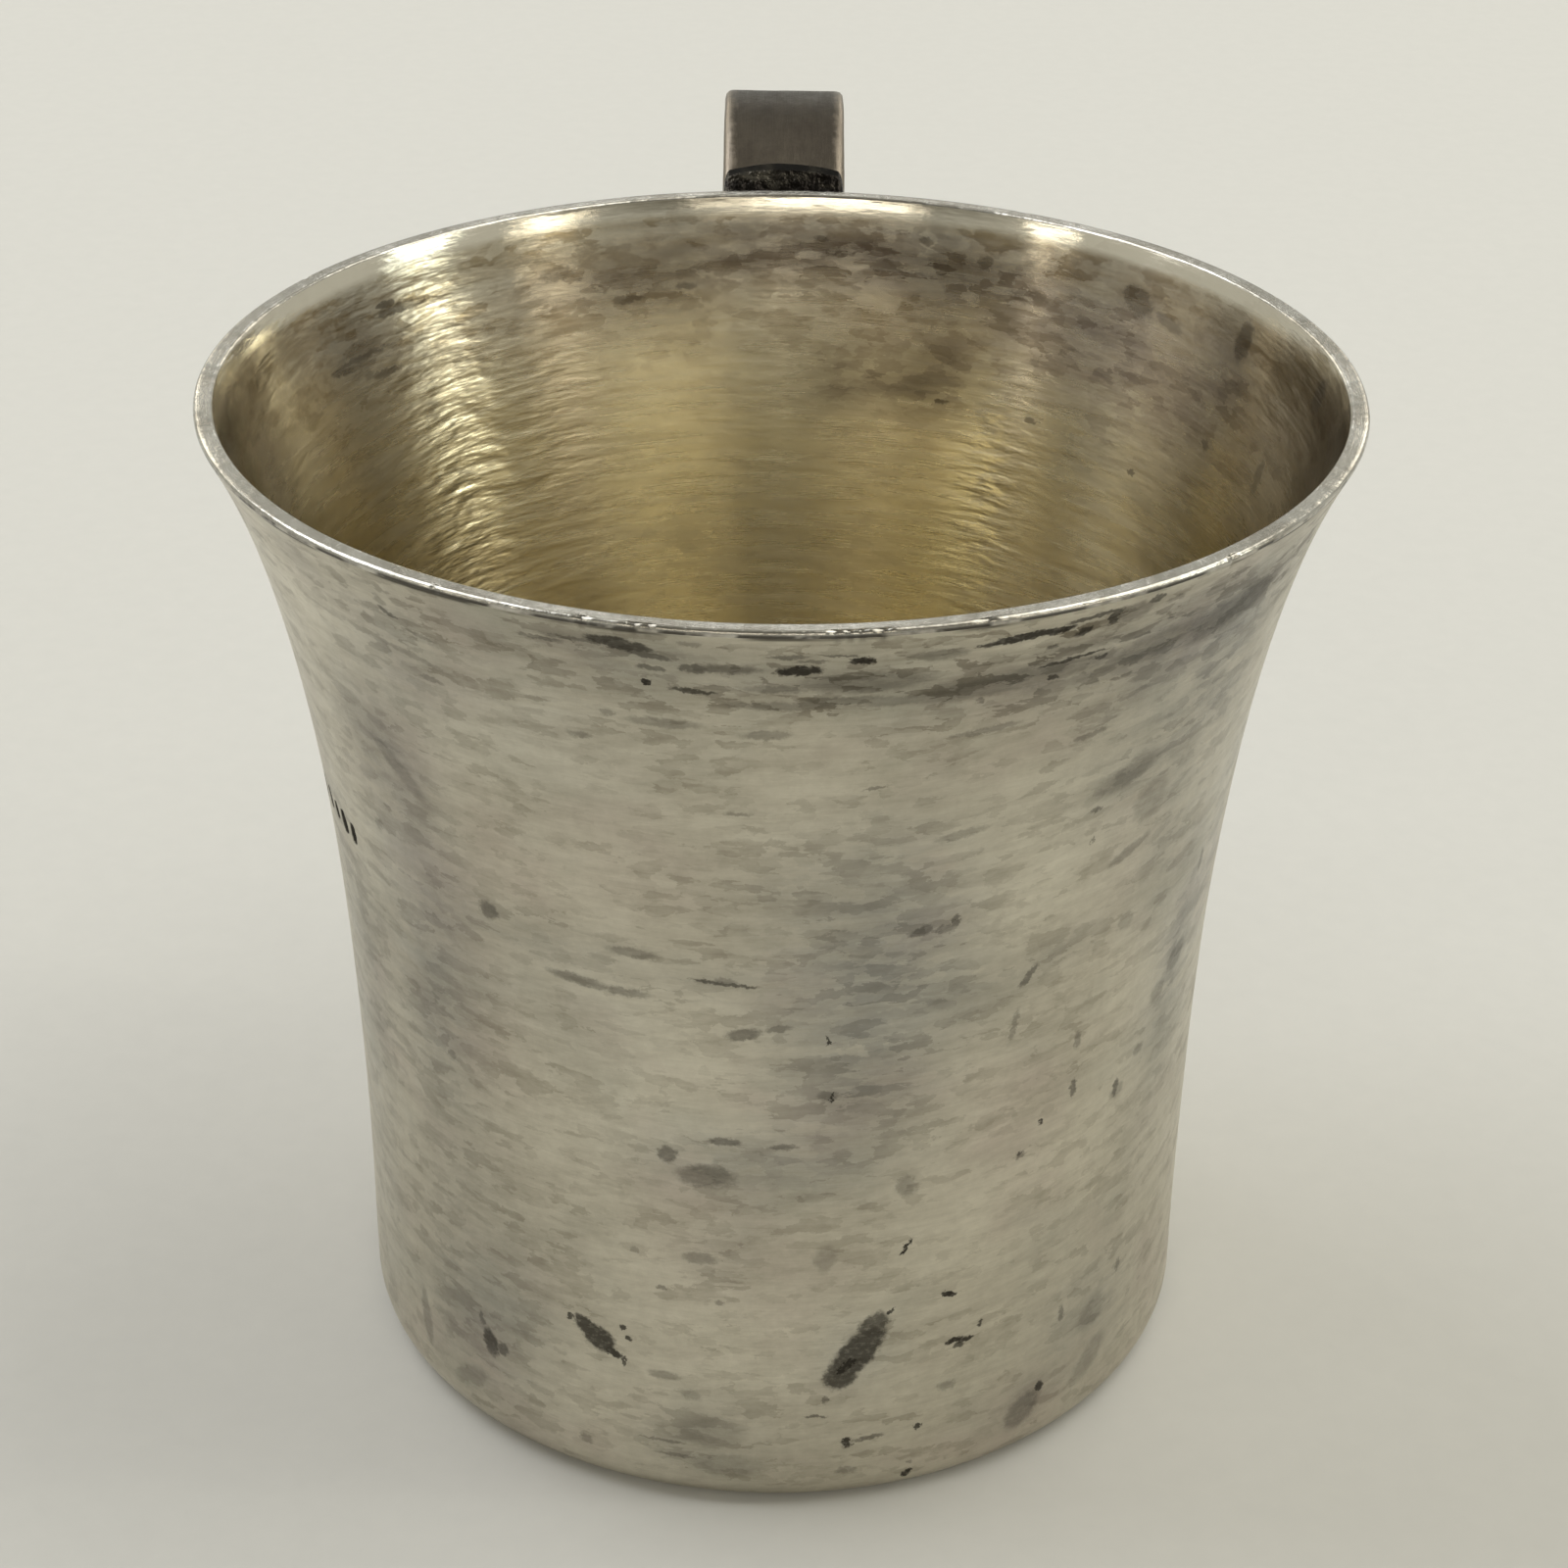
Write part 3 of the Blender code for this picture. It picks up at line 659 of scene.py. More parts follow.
LOW_MARKS = [
    (10.8, 13, 3.3, 1.35, 50, 0.84), (8.9, 11.4, 1.5, 1.25, 42, 0.8), (12.9, 15.2, 1.5, 0.95, 45, 0.76),
    (9.4, 12, 1.1, 0.4, 40, 0.98), (15.2, 16.4, 0.35, 0.16, 45, 0.9), (6.9, 9.3, 0.3, 0.4, 0, 0.5),
    (16.8, 21.6, 0.75, 0.18, 52, 0.98), (23, 16.8, 0.75, 0.22, -18, 0.98), (24.2, 12.6, 0.9, 0.22, 4, 0.95),
    (25.7, 12.4, 0.8, 0.18, 8, 0.92), (24.9, 12.1, 0.5, 0.3, -10, 0.75), (27.9, 13.5, 0.18, 0.34, -15, 0.85),
    (23.2, 8.8, 0.85, 0.5, 0, 0.34), (19.4, 5.8, 0.35, 0.32, 0, 0.88), (9.8, 5.4, 0.45, 0.5, 20, 0.92),
    (12.6, 5.6, 1.3, 0.25, 6, 0.55), (9.8, 2.9, 0.8, 0.4, 0, 0.34), (18.1, 1.8, 0.5, 0.3, 30, 0.95),
    (18.4, 2.8, 0.35, 0.2, 0, 0.4), (5.7, 7.9, 0.95, 0.12, -4, 0.6), (38.3, 5.5, 0.4, 0.45, 0, 0.88),
    (35.4, 4.1, 2, 1.3, 30, 0.46), (6.5, 21.4, 1, 1.2, 0, 0.22), (48.1, 5.2, 2.6, 1.2, 35, 0.28),
    (48.1, 9.2, 2, 1.5, 20, 0.22), (-40.7, 8.3, 0.8, 1.2, 15, 0.74), (-38.5, 8.3, 0.7, 0.55, 30, 0.6),
    (-42.2, 10, 0.35, 0.6, 0, 0.45), (-22.9, 12.7, 1.5, 1.05, -24, 0.88), (-24.9, 13.5, 1.1, 0.7, -35, 0.86),
    (-27.1, 13.9, 0.3, 0.3, 0, 0.85), (-21, 11.8, 0.8, 0.35, -20, 0.92), (-19.5, 14.2, 0.35, 0.26, 0, 0.85),
    (-18.8, 13.4, 0.35, 0.26, 0, 0.85), (-19.4, 11.3, 0.25, 0.5, 0, 0.8), (-9.2, 21.2, 1.5, 0.55, 0, 0.36),
    (-14.2, 18.3, 0.35, 0.26, 0, 0.45), (-6.7, 17.6, 0.4, 0.28, 0, 0.38), (-17.6, 21.1, 0.35, 0.28, 0, 0.3),
    (-14.1, 10.8, 1.4, 0.42, 0, 0.34), (-10.4, 9.4, 0.8, 0.5, 0, 0.24), (-14.5, 5, 2, 0.14, 0, 0.4),
    (-12.3, 3.9, 2, 0.18, 0, 0.34), (-7.9, 6.2, 3, 1.6, 0, 0.2), (-5.4, 3.5, 3.2, 1.1, 0, 0.24),
    (-25.1, 3.5, 0.6, 0.45, 0, 0.34), (-55.2, 6.2, 0.8, 2.6, 10, 0.36), (-44.8, 4.1, 2.4, 1.1, 25, 0.24),
]
OUTSIDE_MARKS = [
    *UNDER_RIM_MARKS, *SCAR_MARKS, *RIGHT_SIDE_MARKS, *MIDDLE_MARKS, *LEFT_SIDE_MARKS, *LOW_MARKS,
]

# Dark marks of the inside, in the same terms
INSIDE_MARKS = [
    (-129.2, 68, 2.6, 0.35, 0, 0.75), (-121.8, 65.9, 3.4, 0.25, 0, 0.5), (-121.2, 64.5, 0.6, 0.3, 0, 0.45),
    (-151.6, 67.5, 1.5, 0.55, 0, 0.5), (-160.2, 65, 1.4, 0.3, 0, 0.6), (-167.8, 65.6, 0.9, 0.25, 0, 0.5),
    (175.3, 68.9, 0.5, 0.25, 0, 0.6), (162.5, 69.3, 0.5, 0.3, 0, 0.55), (154.8, 68.3, 0.6, 0.6, 0, 0.6),
    (133.4, 68.3, 1.6, 1, 25, 0.7), (128, 67.6, 1.6, 0.5, 15, 0.5), (115.2, 68.8, 0.9, 1.5, 0, 0.74),
    (95.2, 69.6, 1, 1.2, 0, 0.7), (102, 61.9, 0.6, 1.3, 0, 0.6), (115.5, 61.1, 0.5, 0.35, 0, 0.6),
    (127.6, 56.5, 0.45, 0.3, 0, 0.8), (145.3, 57.7, 0.6, 0.3, 0, 0.7), (158.2, 57.7, 0.6, 0.25, 0, 0.6),
    (148.5, 66.5, 1.8, 0.6, 0, 0.5), (167, 67.2, 1.4, 0.5, 0, 0.45), (173.5, 68, 0.9, 0.4, 0, 0.5),
    (-124.1, 64.2, 1.6, 0.35, 0, 0.6), (-116.7, 65.6, 1.4, 0.3, 10, 0.55), (-127, 68.6, 0.9, 0.3, 0, 0.85),
    (146, 62, 0.5, 0.35, 0, 0.34), (125, 55, 3, 0.8, 15, 0.22), (165, 58, 3.4, 0.6, 0, 0.2),
]


def in_space(tree):
    """A point's place on its piece, in millimetres."""
    coords = add(tree, "ShaderNodeTexCoord")
    return add(tree, "ShaderNodeVectorMath", {0: coords.outputs["Object"], "Scale": MM}, operation="SCALE")


def places_on_cup(tree):
    """A point's place in millimetres: in space, round the cup and up it, and in space with the distance
    along the profile in the height's stead, which brushing and tarnish follow."""
    space = in_space(tree)
    parts = add(tree, "ShaderNodeSeparateXYZ", {"Vector": space})
    front = add(tree, "ShaderNodeMath", {0: parts.outputs["Y"], 1: -1.0}, operation="MULTIPLY")
    angle = add(tree, "ShaderNodeMath", {0: parts.outputs["X"], 1: front}, operation="ARCTAN2")
    around = add(tree, "ShaderNodeMath", {0: angle, 1: MEAN_RADIUS * MM}, operation="MULTIPLY")
    flat = add(tree, "ShaderNodeCombineXYZ", {"X": around, "Y": parts.outputs["Z"]})
    share = add(tree, "ShaderNodeAttribute", attribute_name="share")
    along = add(tree, "ShaderNodeMath",
                {0: share.outputs["Fac"], 1: PROFILE_LENGTH * MM}, operation="MULTIPLY")
    brushed = add(tree, "ShaderNodeCombineXYZ",
                  {"X": parts.outputs["X"], "Y": parts.outputs["Y"], "Z": along})
    return space, flat, brushed, around, parts.outputs["Z"], along


def grain(tree, place, sizes, detail=3.0, roughness=0.55, low=0.3, high=0.7, shift=0.0, turn=0.0):
    """A noise from 0 to 1 whose features have these sizes in millimetres, drawn in from low and high."""
    scale = tuple(1 / size for size in sizes)
    mapped = add(tree, "ShaderNodeMapping",
                 {"Vector": place, "Location": (shift, shift, shift)}, vector_type="POINT")
    turned = add(tree, "ShaderNodeVectorRotate", {"Vector": mapped, "Angle": turn}, rotation_type="Z_AXIS")
    sized = add(tree, "ShaderNodeVectorMath", {0: turned, 1: scale}, operation="MULTIPLY")
    drawn = add(tree, "ShaderNodeTexNoise",
                {"Vector": sized, "Scale": 1.0, "Detail": detail, "Roughness": roughness})
    return add(tree, "ShaderNodeMapRange", {"Value": drawn, "From Min": low, "From Max": high})


# The outline of a mark fades over this share of it, and over this much more the fainter the mark is
MARK_FADE = 0.20
FAINT_FADE = 0.3


def spots(tree, flat, marks, ragged):
    """A mask of marks that each lie at an angle and a height, with ragged edges."""
    torn = add(tree, "ShaderNodeTexNoise", {"Vector": flat, "Scale": 1.9, "Detail": 4.0, "Roughness": 0.72})
    centred = add(tree, "ShaderNodeVectorMath",
                  {0: torn.outputs["Color"], 1: (0.5, 0.5, 0.5)}, operation="SUBTRACT")
    pushed = add(tree, "ShaderNodeVectorMath", {0: centred, "Scale": ragged}, operation="SCALE")
    level = add(tree, "ShaderNodeVectorMath", {0: pushed, 1: (1.0, 0.6, 0.0)}, operation="MULTIPLY")
    moved = add(tree, "ShaderNodeVectorMath", {0: flat, 1: level}, operation="ADD")
    mask = None
    for angle, height, half_long, half_high, turn, strength in marks:
        lean = math.radians(turn)
        lengthwise = Vector((math.cos(lean), math.sin(lean), 0.0)) / half_long
        crosswise = Vector((-math.sin(lean), math.cos(lean), 0.0)) / half_high
        centre = Vector((arc(angle), height, 0.0))
        # Plain vector nodes only, because a long row of Mapping nodes is too big a shader for the renderer
        far_along = add(tree, "ShaderNodeVectorMath", {0: moved, 1: lengthwise}, operation="DOT_PRODUCT")
        far_across = add(tree, "ShaderNodeVectorMath", {0: moved, 1: crosswise}, operation="DOT_PRODUCT")
        local = add(tree, "ShaderNodeCombineXYZ", {"X": far_along, "Y": far_across})
        away = add(tree, "ShaderNodeVectorMath",
                   {0: local, 1: (centre.dot(lengthwise), centre.dot(crosswise), 0.0)}, operation="DISTANCE")
        # The outline fades over its last part, which is wider in a faint mark than in a deep one
        inner = 1.0 - MARK_FADE - FAINT_FADE * (1.0 - strength)
        spot = add(tree, "ShaderNodeMapRange",
                   {"Value": away, "From Min": inner, "From Max": 1.15, "To Min": strength, "To Max": 0.0},
                   interpolation_type="SMOOTHSTEP")
        mask = spot if mask is None else add(tree, "ShaderNodeMath", {0: mask, 1: spot}, operation="MAXIMUM")
    return mask


def metal(name):
    """A material for a metal, with its tree and its shader."""
    made = bpy.data.materials.new(name)
    made.use_nodes = True
    shader = made.node_tree.nodes["Principled BSDF"]
    shader.inputs["Metallic"].default_value = 1.0
    return made, made.node_tree, shader


# Relief of this many metres lies under a bump's whole height
FINE_RELIEF = 0.00005
SOLDER_RELIEF = 0.00012


def lay_on(tree, shader, colour, rough, least_rough, height, strength, relief=FINE_RELIEF):
    """Gives a shader its colour, its roughness above the least and its fine relief."""
    roughness = add(tree, "ShaderNodeMath", {0: rough, 1: least_rough}, operation="ADD")
    bump = add(tree, "ShaderNodeBump", {"Height": height, "Strength": strength, "Distance": relief})
    tree.links.new(colour, shader.inputs["Base Color"])
    tree.links.new(roughness.outputs[0], shader.inputs["Roughness"])
    tree.links.new(bump.outputs[0], shader.inputs["Normal"])


def brush_round(tree, shader, strength):
    """Draws glints out across the brushing, which runs round the cup."""
    shader.inputs["Anisotropic"].default_value = strength
    shader.inputs["Anisotropic Rotation"].default_value = 0.25
    tangent = add(tree, "ShaderNodeTangent", direction_type="UV_MAP", uv_map="UVMap")
    tree.links.new(tangent.outputs[0], shader.inputs["Tangent"])


def painted_dark_edge_line(tree, along, parts, start, whole):
    """A thin painted dark line by the lip, a painted reflection of the dark room, broken into parts, from
    start to whole in millimetres along the profile from where the lip's outer round begins."""
    lip = DISTANCES[LIP_FIRST] * MM
    line = add(tree, "ShaderNodeMapRange",
               {"Value": along, "From Min": lip + start, "From Max": lip + whole},
               interpolation_type="SMOOTHSTEP")
    return add(tree, "ShaderNodeMath", {0: line, 1: parts}, operation="MULTIPLY")


def tinted(tree, share, under, over):
    """One colour over another, as far as share says. Either is a socket, a node or a colour."""
    return pick(add(tree, "ShaderNodeMix", {"Factor": share, "A": under, "B": over},
                    data_type="RGBA", blend_type="MIX").outputs, "Result")


def weighed(tree, *pairs):
    """The sum of fields times their weights. A weight can be a field too."""
    total = None
    for field, weight in pairs:
        scaled = add(tree, "ShaderNodeMath", {0: field, 1: weight}, operation="MULTIPLY")
        if total is not None:
            scaled = add(tree, "ShaderNodeMath", {0: total, 1: scaled}, operation="ADD")
        total = scaled
    return total


def dabs(tree, place, sizes, shift):
    """Torn flakes of one tone each, from 0 to 1, and about these sizes in millimetres, as tarnish wears."""
    scale = tuple(1 / size for size in sizes)
    mapped = add(tree, "ShaderNodeMapping",
                 {"Vector": place, "Location": (shift, shift, shift)}, vector_type="POINT")
    sized = add(tree, "ShaderNodeVectorMath", {0: mapped, 1: scale}, operation="MULTIPLY")
    torn = add(tree, "ShaderNodeTexNoise", {"Vector": sized, "Scale": 2.2, "Detail": 3.0, "Roughness": 0.6})
    centred = add(tree, "ShaderNodeVectorMath",
                  {0: torn.outputs["Color"], 1: (0.5, 0.5, 0.5)}, operation="SUBTRACT")
    moved = add(tree, "ShaderNodeVectorMath", {0: sized, 1: centred}, operation="ADD")
    cells = add(tree, "ShaderNodeTexVoronoi", {"Vector": moved, "Scale": 1.0}, feature="F1")
    return add(tree, "ShaderNodeSeparateXYZ", {"Vector": cells.outputs["Color"]}).outputs["X"]


def flaked(tree, brushed, space):
    """How far broad and fine flakes of tarnish cover each point, and the tones they are drawn from."""
    broad = dabs(tree, brushed, (3.4, 3.4, 0.95), shift=13)
    fine = dabs(tree, space, (1.5, 1.5, 0.75), shift=37)
    tones = weighed(tree, (broad, 0.5), (fine, 0.5))
    cover = add(tree, "ShaderNodeMapRange", {"Value": tones, "From Min": 0.50, "From Max": 0.85})
    return cover, tones


# Cloths have wiped up the side and the inside at this slant
WIPED = math.radians(-16)


def patches_and_painted_light(tree, brushed, tones):
    """The broad dim, pale, cool and rosy patches, torn along the brushing and by flakes. The dim and pale
    ones are partly painted shade and light.
    """
    torn = grain(tree, brushed, (5, 5, 1.3), detail=4, roughness=0.65, shift=44)
    wear = weighed(tree, (torn, 0.55), (tones, 0.95))
    wear = add(tree, "ShaderNodeMath", {0: wear, 1: 0.22}, operation="ADD")
    made = []
    for name in ("dim", "pale", "cool", "rosy"):
        stored = add(tree, "ShaderNodeAttribute", attribute_name=name)
        made.append(weighed(tree, (stored.outputs["Fac"], wear)))
    return made


def worn_silver(look):
    """Sterling silver, raised, polished once and rubbed for a long time: a satin sheen from fine scratches
    that run round the cup, thin warm tarnish in long smears, pinkish and greenish clouds, and dark sulphide
    spots."""
    made, tree, shader = metal("worn_sterling_silver")
    space, flat, brushed, around, height, along = places_on_cup(tree)
    clouds = grain(tree, space, (15, 15, 15), low=0.38, high=0.62)
    pink = grain(tree, space, (9, 9, 7), detail=2, low=0.52, high=0.72, shift=40)
    green = grain(tree, space, (10, 10, 8), detail=2, low=0.54, high=0.74, shift=90)
    smears = grain(tree, brushed, (9, 9, 1.5), detail=4, roughness=0.6, low=0.44, high=0.72, shift=11)
    fine_smears = grain(tree, brushed, (5, 5, 0.55), detail=4, roughness=0.65, low=0.36, high=0.70, shift=23)
    slanted = grain(tree, flat, (7, 0.9, 1), detail=4, roughness=0.6, low=0.46, high=0.74, turn=WIPED)
    scratches = grain(tree, brushed, (6, 6, 0.12), detail=5, roughness=0.7, shift=5)
    mottle = grain(tree, space, (1.1, 1.1, 1.1), detail=4, roughness=0.7, low=0.35, high=0.65, shift=3)
    # A band under the rim, where fingers and cloths don't reach, is tarnished, and more so towards the right
    band = add(tree, "ShaderNodeMapRange", {"Value": height, "From Min": 61.5, "From Max": 68.0},
               interpolation_type="SMOOTHSTEP")
    band_top = add(tree, "ShaderNodeMapRange",
                   {"Value": height, "From Min": 70.3, "From Max": 71.6, "To Min": 1.0, "To Max": 0.15},
                   interpolation_type="SMOOTHSTEP")
    to_right = add(tree, "ShaderNodeMapRange",
                   {"Value": around, "From Min": -12.0, "From Max": 20.0, "To Min": 0.30, "To Max": 1.0},
                   interpolation_type="SMOOTHSTEP")
    in_band = weighed(tree, (band, band_top))
    in_band = weighed(tree, (in_band, to_right))
    band_smears = weighed(tree, (in_band, weighed(tree, (smears, 0.55), (fine_smears, 0.55))))
    flakes, tones = flaked(tree, brushed, space)
    in_band_flakes = weighed(tree, (in_band, flakes))
    tarnish = weighed(tree, (clouds, 0.14), (smears, 0.13), (fine_smears, 0.08), (slanted, 0.12),
                      (mottle, 0.10), (flakes, 0.26), (band_smears, 0.38), (in_band_flakes, 0.45))
    tarnish = add(tree, "ShaderNodeClamp", {"Value": tarnish})
    dim, pale, cool, rosy = patches_and_painted_light(tree, brushed, tones)
    colour = tinted(tree, weighed(tree, (pink, 0.30), (rosy, 0.55)), (*look.silver, 1.0), linear("#b9a6a0"))
    colour = tinted(tree, weighed(tree, (green, 0.30)), colour, linear("#a9aca0"))
    colour = tinted(tree, weighed(tree, (cool, 0.50)), colour, linear("#aeb2b3"))
    # Pale patches lighten the colour: partly paler metal, partly painted light for lighter reflections
    colour = tinted(tree, weighed(tree, (pale, 0.66)), colour, linear("#efe9d6"))
    colour = tinted(tree, tarnish, colour, (*look.tarnish, 1.0))
    # Dim patches darken the colour: partly tarnish, partly painted shade for darker reflections
    colour = tinted(tree, weighed(tree, (dim, 0.66)), colour, linear("#6f6e6a"))
    colour = tinted(tree, weighed(tree, (scratches, 0.10)), colour, linear("#8d8570"))
    marks = spots(tree, flat, OUTSIDE_MARKS, ragged=1.3)
    broken = grain(tree, flat, (0.5, 0.35, 1), roughness=0.6, low=0.25, high=0.5, shift=7)
    broken = add(tree, "ShaderNodeMapRange", {"Value": broken, "To Min": 0.72, "To Max": 1.0})
    marks = weighed(tree, (marks, broken))
    # A painted dark reflection of the room lies under the lip's edge, and old polish sits in the engraving
    line_parts = grain(tree, space, (6, 6, 6), detail=2, low=0.42, high=0.60, shift=61)
    line = painted_dark_edge_line(tree, along, line_parts, -0.34, -0.10)
    cut = add(tree, "ShaderNodeAttribute", attribute_name="grime")
    dark = add(tree, "ShaderNodeMath", {0: marks, 1: cut.outputs["Fac"]}, operation="MAXIMUM")
    dark = add(tree, "ShaderNodeMath", {0: dark, 1: weighed(tree, (line, 0.80))}, operation="MAXIMUM")
    dark = weighed(tree, (dark, 0.96))
    colour = tinted(tree, dark, colour, (*look.sulphide, 1.0))
    rough = weighed(tree, (clouds, 0.05), (smears, 0.06), (scratches, 0.10), (mottle, 0.04), (dark, 0.25))
    band_tones = weighed(tree, (in_band, tones))
    depth = weighed(tree, (scratches, 0.28), (fine_smears, 0.16), (mottle, 0.55), (tones, 0.30),
                    (band_tones, 1.2))
    lay_on(tree, shader, colour, rough, 0.27, depth, 0.5)
    brush_round(tree, shader, 0.55)
    return made


def rubbed_silver(look):
    """Sterling silver of the lip, kept bright by mouths and cloths: glossier and whiter than the side."""
    made, tree, shader = metal("rubbed_sterling_silver")
    space, _, brushed, _, _, along = places_on_cup(tree)
    scratches = grain(tree, brushed, (4, 4, 0.14), detail=4, roughness=0.7, low=0.32, high=0.68, shift=5)
    clouds = grain(tree, space, (5, 5, 5), low=0.36, high=0.64, shift=17)
    ragged = grain(tree, space, (0.9, 0.9, 0.9), roughness=0.65, low=0.35, high=0.65, shift=29)
    cut = add(tree, "ShaderNodeAttribute", attribute_name="grime")
    film = weighed(tree, (scratches, 0.14), (clouds, 0.36), (ragged, 0.16))
    # The outer edge's round has a painted dark reflection of the room, broken into parts
    line_parts = grain(tree, space, (3.5, 3.5, 3.5), roughness=0.6, low=0.42, high=0.52, shift=61)
    line = painted_dark_edge_line(tree, along, line_parts, 0.30, 0.14)
    colour = tinted(tree, film, (*look.lip, 1.0), (*look.tarnish, 1.0))
    colour = tinted(tree, weighed(tree, (line, 0.85)), colour, (*look.sulphide, 1.0))
    colour = tinted(tree, weighed(tree, (cut.outputs["Fac"], 0.5)), colour, (*look.sulphide, 1.0))
    rough = weighed(tree, (scratches, 0.08), (clouds, 0.06), (ragged, 0.05))
    depth = weighed(tree, (scratches, 0.4), (ragged, 0.8), (clouds, 4.0))
    lay_on(tree, shader, colour, rough, 0.10, depth, 0.35)
    return made


def gilt_silver(look):
    """Sterling silver of the inside, washed with thin gold or stained by drink: warm, glossier than the
    outside, brushed round, with slanting wiping smears and brown patches near the rim."""
    made, tree, shader = metal("stained_gilt_silver")
    space, flat, brushed, _, height, _ = places_on_cup(tree)
    clouds = grain(tree, space, (14, 14, 14), low=0.36, high=0.64, shift=33)
    smears = grain(tree, brushed, (12, 12, 1.2), detail=4, roughness=0.6, low=0.42, high=0.72, shift=71)
    wiped = grain(tree, flat, (9, 0.8, 1), detail=4, roughness=0.6, low=0.44, high=0.74, shift=3, turn=WIPED)
    scratches = grain(tree, brushed, (7, 7, 0.13), detail=5, roughness=0.7, shift=15)
    mottle = grain(tree, space, (1.4, 1.4, 1.4), detail=4, roughness=0.7, low=0.35, high=0.65, shift=53)
    upper = add(tree, "ShaderNodeMapRange", {"Value": height, "From Min": 54.0, "From Max": 70.0},
                interpolation_type="SMOOTHSTEP")
    upper_smears = weighed(tree, (upper, weighed(tree, (smears, 0.6), (mottle, 0.35))))
    flakes, tones = flaked(tree, brushed, space)
    upper_flakes = weighed(tree, (upper, flakes))
    stain = weighed(tree, (clouds, 0.16), (smears, 0.10), (wiped, 0.12), (mottle, 0.06), (flakes, 0.08),
                    (upper_smears, 0.35), (upper_flakes, 0.40))
    stain = add(tree, "ShaderNodeClamp", {"Value": stain})
    dim, pale, cool, rosy = patches_and_painted_light(tree, brushed, tones)
    colour = tinted(tree, upper, (*look.inside, 1.0), (*look.inside_rim, 1.0))
    colour = tinted(tree, weighed(tree, (rosy, 0.55)), colour, linear("#ab9689"))
    colour = tinted(tree, weighed(tree, (cool, 0.60)), colour, linear("#a9abaa"))
    # Painted highlights: pale patches lighten the colour where the windows glint and streak
    colour = tinted(tree, weighed(tree, (pale, 0.5)), colour, linear("#efe8cc"))
    colour = tinted(tree, stain, colour, linear("#958566"))
    # Painted shade: dim patches darken the colour as dark reflections between the glints
    colour = tinted(tree, weighed(tree, (dim, 0.78)), colour, linear("#564d45"))
    colour = tinted(tree, weighed(tree, (scratches, 0.10)), colour, linear("#8d7d5d"))
    # Paler rubbed metal at the top of the inside, lightened further as a painted glint along the rim
    rim_polish_and_glint = add(tree, "ShaderNodeMapRange", {"Value": height, "From Min": 70.3, "From Max": 71.1},
                   interpolation_type="SMOOTHSTEP")
    colour = tinted(tree, weighed(tree, (rim_polish_and_glint, 0.75)), colour, linear("#e9e2d0"))
    marks = spots(tree, flat, INSIDE_MARKS, ragged=1.5)
    colour = tinted(tree, weighed(tree, (marks, 0.8)), colour, linear("#3a3126"))
    # Cloths and mouths have rubbed the top of the inside glossier than the rest
    rubbed = add(tree, "ShaderNodeMapRange", {"Value": height, "From Min": 61.0, "From Max": 70.0},
                 interpolation_type="SMOOTHSTEP")
    rough = weighed(tree, (clouds, 0.04), (smears, 0.06), (scratches, 0.05), (dim, 0.12), (marks, 0.05),
                    (rubbed, -0.10), (rim_polish_and_glint, -0.07))
    # Coarser turns stand in for brushing that is too fine to show, and break a glint into short level dashes
    turns = grain(tree, brushed, (3.6, 3.6, 0.80), detail=2, roughness=0.5, shift=81)
    ridged = add(tree, "ShaderNodeAttribute", attribute_name="ridged")
    ridges = weighed(tree, (turns, ridged.outputs["Fac"]))
    depth = weighed(tree, (turns, 0.8), (ridges, 4.0), (scratches, 0.1), (wiped, 0.1), (mottle, 0.08))
    lay_on(tree, shader, colour, rough, 0.19, depth, 0.5)
    brush_round(tree, shader, 1.0)
    return made


# Strap handle and its solder

STRAP_STEPS = 110
GIRTH_STEPS = 72
STRAP_EDGE_ROUND = 0.0006
STRAP_SINK = 0.00015
END_BLEND = 0.0050
STRAP_LENGTH = 0.0950
STRAP_WAVE_LENGTH = 0.0035
# Rubbed metal starts and is whole this far from the strap's middle line
STRAP_RUBBED_FROM = 0.00395
STRAP_RUBBED_TO = 0.00475
# Farther than any point of the strap is from its middle line
STRAP_AROUND = 0.0062


def strap_ends():
    """Where the strap's middle line meets the wall, and which way it leaves it, at the upper and the lower
    joint."""
    out = Vector((0.0, math.cos(UPPER_JOINT_RISE), math.sin(UPPER_JOINT_RISE)))
    back = Vector((0.0, math.cos(LOWER_JOINT_RISE), math.sin(LOWER_JOINT_RISE)))
    upper_height = CUP_HEIGHT - UPPER_JOINT_BELOW_RIM
    upper = Vector((0.0, outer_radius(upper_height), upper_height))
    lower = Vector((0.0, outer_radius(LOWER_JOINT_HEIGHT), LOWER_JOINT_HEIGHT))
    return (upper, out), (lower, back)


def strap_line():
    """The strap's middle line as a curve, the same as the part's, from the wall out and back to the wall."""
    (upper, out), (lower, back) = strap_ends()
    up = Vector((0.0, 0.0, 1.0))
    furthest = Vector((0.0, RIM_RADIUS + STRAP_REACH - STRAP_THICKNESS / 2, STRAP_REACH_HEIGHT))
    first = upper - out * END_ALLOWANCE
    last = lower - back * END_ALLOWANCE
    knots = [
        (first, first, first + out * UPPER_END_PULL),
        (furthest, furthest + up * SHOULDER_PULL, furthest - up * BACK_PULL),
        (last, last + back * LOWER_END_PULL, last),
    ]
    curve = bpy.data.curves.new("strap_line", "CURVE")
    curve.dimensions = "3D"
    curve.resolution_u = 64
    spline = curve.splines.new("BEZIER")
    spline.bezier_points.add(len(knots) - 1)
    for knot, (place, before, after) in zip(spline.bezier_points, knots):
        knot.handle_left_type = "FREE"
        knot.handle_right_type = "FREE"
        knot.co = place
        knot.handle_left = before
        knot.handle_right = after
    return curve


